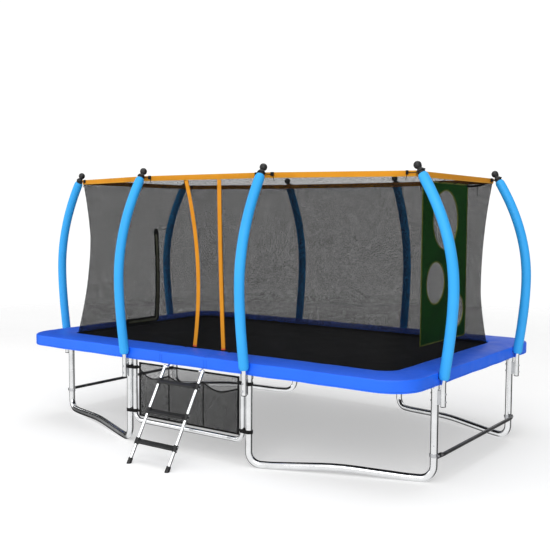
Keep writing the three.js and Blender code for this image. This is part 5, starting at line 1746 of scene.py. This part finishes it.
def make_ties():
    """Elastic straps from each cap's collar to the net's band, and the target's own ties."""
    build = Build()
    for post in POSTS:
        _, x, y, out = post
        axis = np.array([out[0] * TOP_DIRECTION[0], out[1] * TOP_DIRECTION[0], TOP_DIRECTION[1]])
        collar = on_post(post, [BOW[-1]])[0] + axis * 0.018
        across = np.array([-out[1], out[0], 0.0])
        inward = np.array([-out[0], -out[1], 0.0])
        turn = np.linspace(-0.62 * math.pi, 0.62 * math.pi, 25)
        outward = unit(axis * (axis @ inward) - inward)
        loop = [collar + (outward * math.cos(a) + across * math.sin(a)) * 0.0325 for a in turn]
        for sign in (-1, 1):
            knot = band_point(post, sign * TIE_SPREAD) + outward * 0.006
            lead = loop[0] if sign < 0 else loop[-1]
            sagged = (knot + lead) / 2 - np.array([0, 0, 0.006])
            build.tube(resampled(bezier([lead, sagged, knot], 9), 0.008), 0.0034, 8)
            build.block(knot, (0.016 + 0.014 * abs(out[1]), 0.016 + 0.014 * abs(out[0]), 0.034),
                        bevel=0.005)
            tail = [knot, knot + across * sign * 0.012 - np.array([0, 0, 0.030]),
                    knot + across * sign * 0.026 - np.array([0, 0, 0.062])]
            build.tube(bezier(tail, 7), 0.0028, 8)
        build.tube(np.array(loop), 0.0034, 8)
    ties = build.piece("net_ties", BINDING, "frame")
    hang = Build()
    for y in (-TARGET_Y + 0.03, -0.15, 0.15, TARGET_Y - 0.03):
        share = (y + SHORT_POST_Y) / (2 * SHORT_POST_Y)
        top = RIGHT.point(share, NET_TOP - 0.010, -0.004)
        low = np.array(at(TARGET_X, y, TARGET_TOP - 0.006))
        strap(hang, [top, top + (low - top) * 0.5 + np.array([0, 0, -0.004]), low],
              0.020, side=(0, 1, 0))
    for sign in (-1, 1):
        inner_end = np.array(at(TARGET_X, sign * (TARGET_Y - 0.01), TARGET_TOP - 0.010))
        share = (sign * 0.74 + SHORT_POST_Y) / (2 * SHORT_POST_Y)
        outer_end = RIGHT.point(share, NET_TOP - 0.030, -0.005)
        sag = (inner_end + outer_end) / 2 - np.array([0, 0, 0.030])
        strap(hang, bezier([inner_end, sag, outer_end], 9), 0.020, side=(0, 0, 1))
        loose = (inner_end + outer_end) / 2 - np.array([0.004, 0, 0.016])
        tail = [loose, loose - np.array([0.004, sign * 0.010, 0.040]),
                loose - np.array([0.002, sign * 0.004, 0.095])]
        strap(hang, bezier(tail, 7), 0.012, side=(0, 1, 0))
    straps = hang.piece("target_ties", BINDING, "frame")


def make_pad_straps():
    """Short elastic loops under the pad that hold it to the frame."""
    build = Build()
    places = [(x, sign * FRAME_Y, (0, sign))
              for x in (-1.55, -0.98, -0.35, 0.42, 0.98, 1.55) for sign in (-1, 1)]
    places += [(sign * FRAME_X, y, (sign, 0)) for y in (-0.45, 0.45) for sign in (-1, 1)]
    for x, y, out in places:
        inward = np.array([-out[0], -out[1], 0.0])
        along = np.array([abs(out[1]), abs(out[0]), 0.0])
        centre = np.array(at(x, y, RAIL_Z))
        wrap = RAIL_R + 0.0024
        loop = [centre + inward * 0.075 + np.array([0, 0, 0.0335])]
        for angle in np.linspace(math.radians(55), math.radians(-180), 18):
            loop.append(centre + inward * wrap * math.cos(angle)
                        + np.array([0, 0, wrap * math.sin(angle)]))
        loop.append(centre - inward * 0.0335 + np.array([0, 0, 0.030]))
        strap(build, loop, 0.020, side=along)
    build.piece("pad_straps", BINDING, "frame")


# ---------------------------------------------------------------- assembly

floor = Build()
floor.grid([[(x, y, -0.0005) for x in np.linspace(-16, 16, 9)] for y in np.linspace(-16, 16, 9)])
ground = floor.piece("floor", floor_shade())
ground.visible_glossy = False

make_rails()
make_legs()
make_braces()
make_tie_bars()
for number, post in enumerate(POSTS):
    make_pole(post)
    make_foam(post, number)
    make_cap(post)

net = make_net()
hem = make_hem()
make_band()
outer_flap, outer_strip = make_flap("flap_outer", DOOR_HALF, OUTER_EDGE, OUTER_TAPE,
                                    FLAP_OFFSET)
inner_flap, inner_strip = make_flap("flap_inner", -DOOR_HALF, INNER_EDGE, OUTER_EDGE,
                                    -FLAP_OFFSET)
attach(door_strip("door_tape", OUTER_TAPE, FLAP_OFFSET + 0.0006, FLAP_OFFSET + 0.0036), "frame")
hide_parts("door_flap_outer")
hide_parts("door_flap_inner")
zip_net = make_zip()
make_zip_slider()

make_mat()
make_springs()
make_pad()
make_pad_straps()
make_target()
make_bag()
make_bag_straps()
make_ladder()
make_hooks()
make_ties()
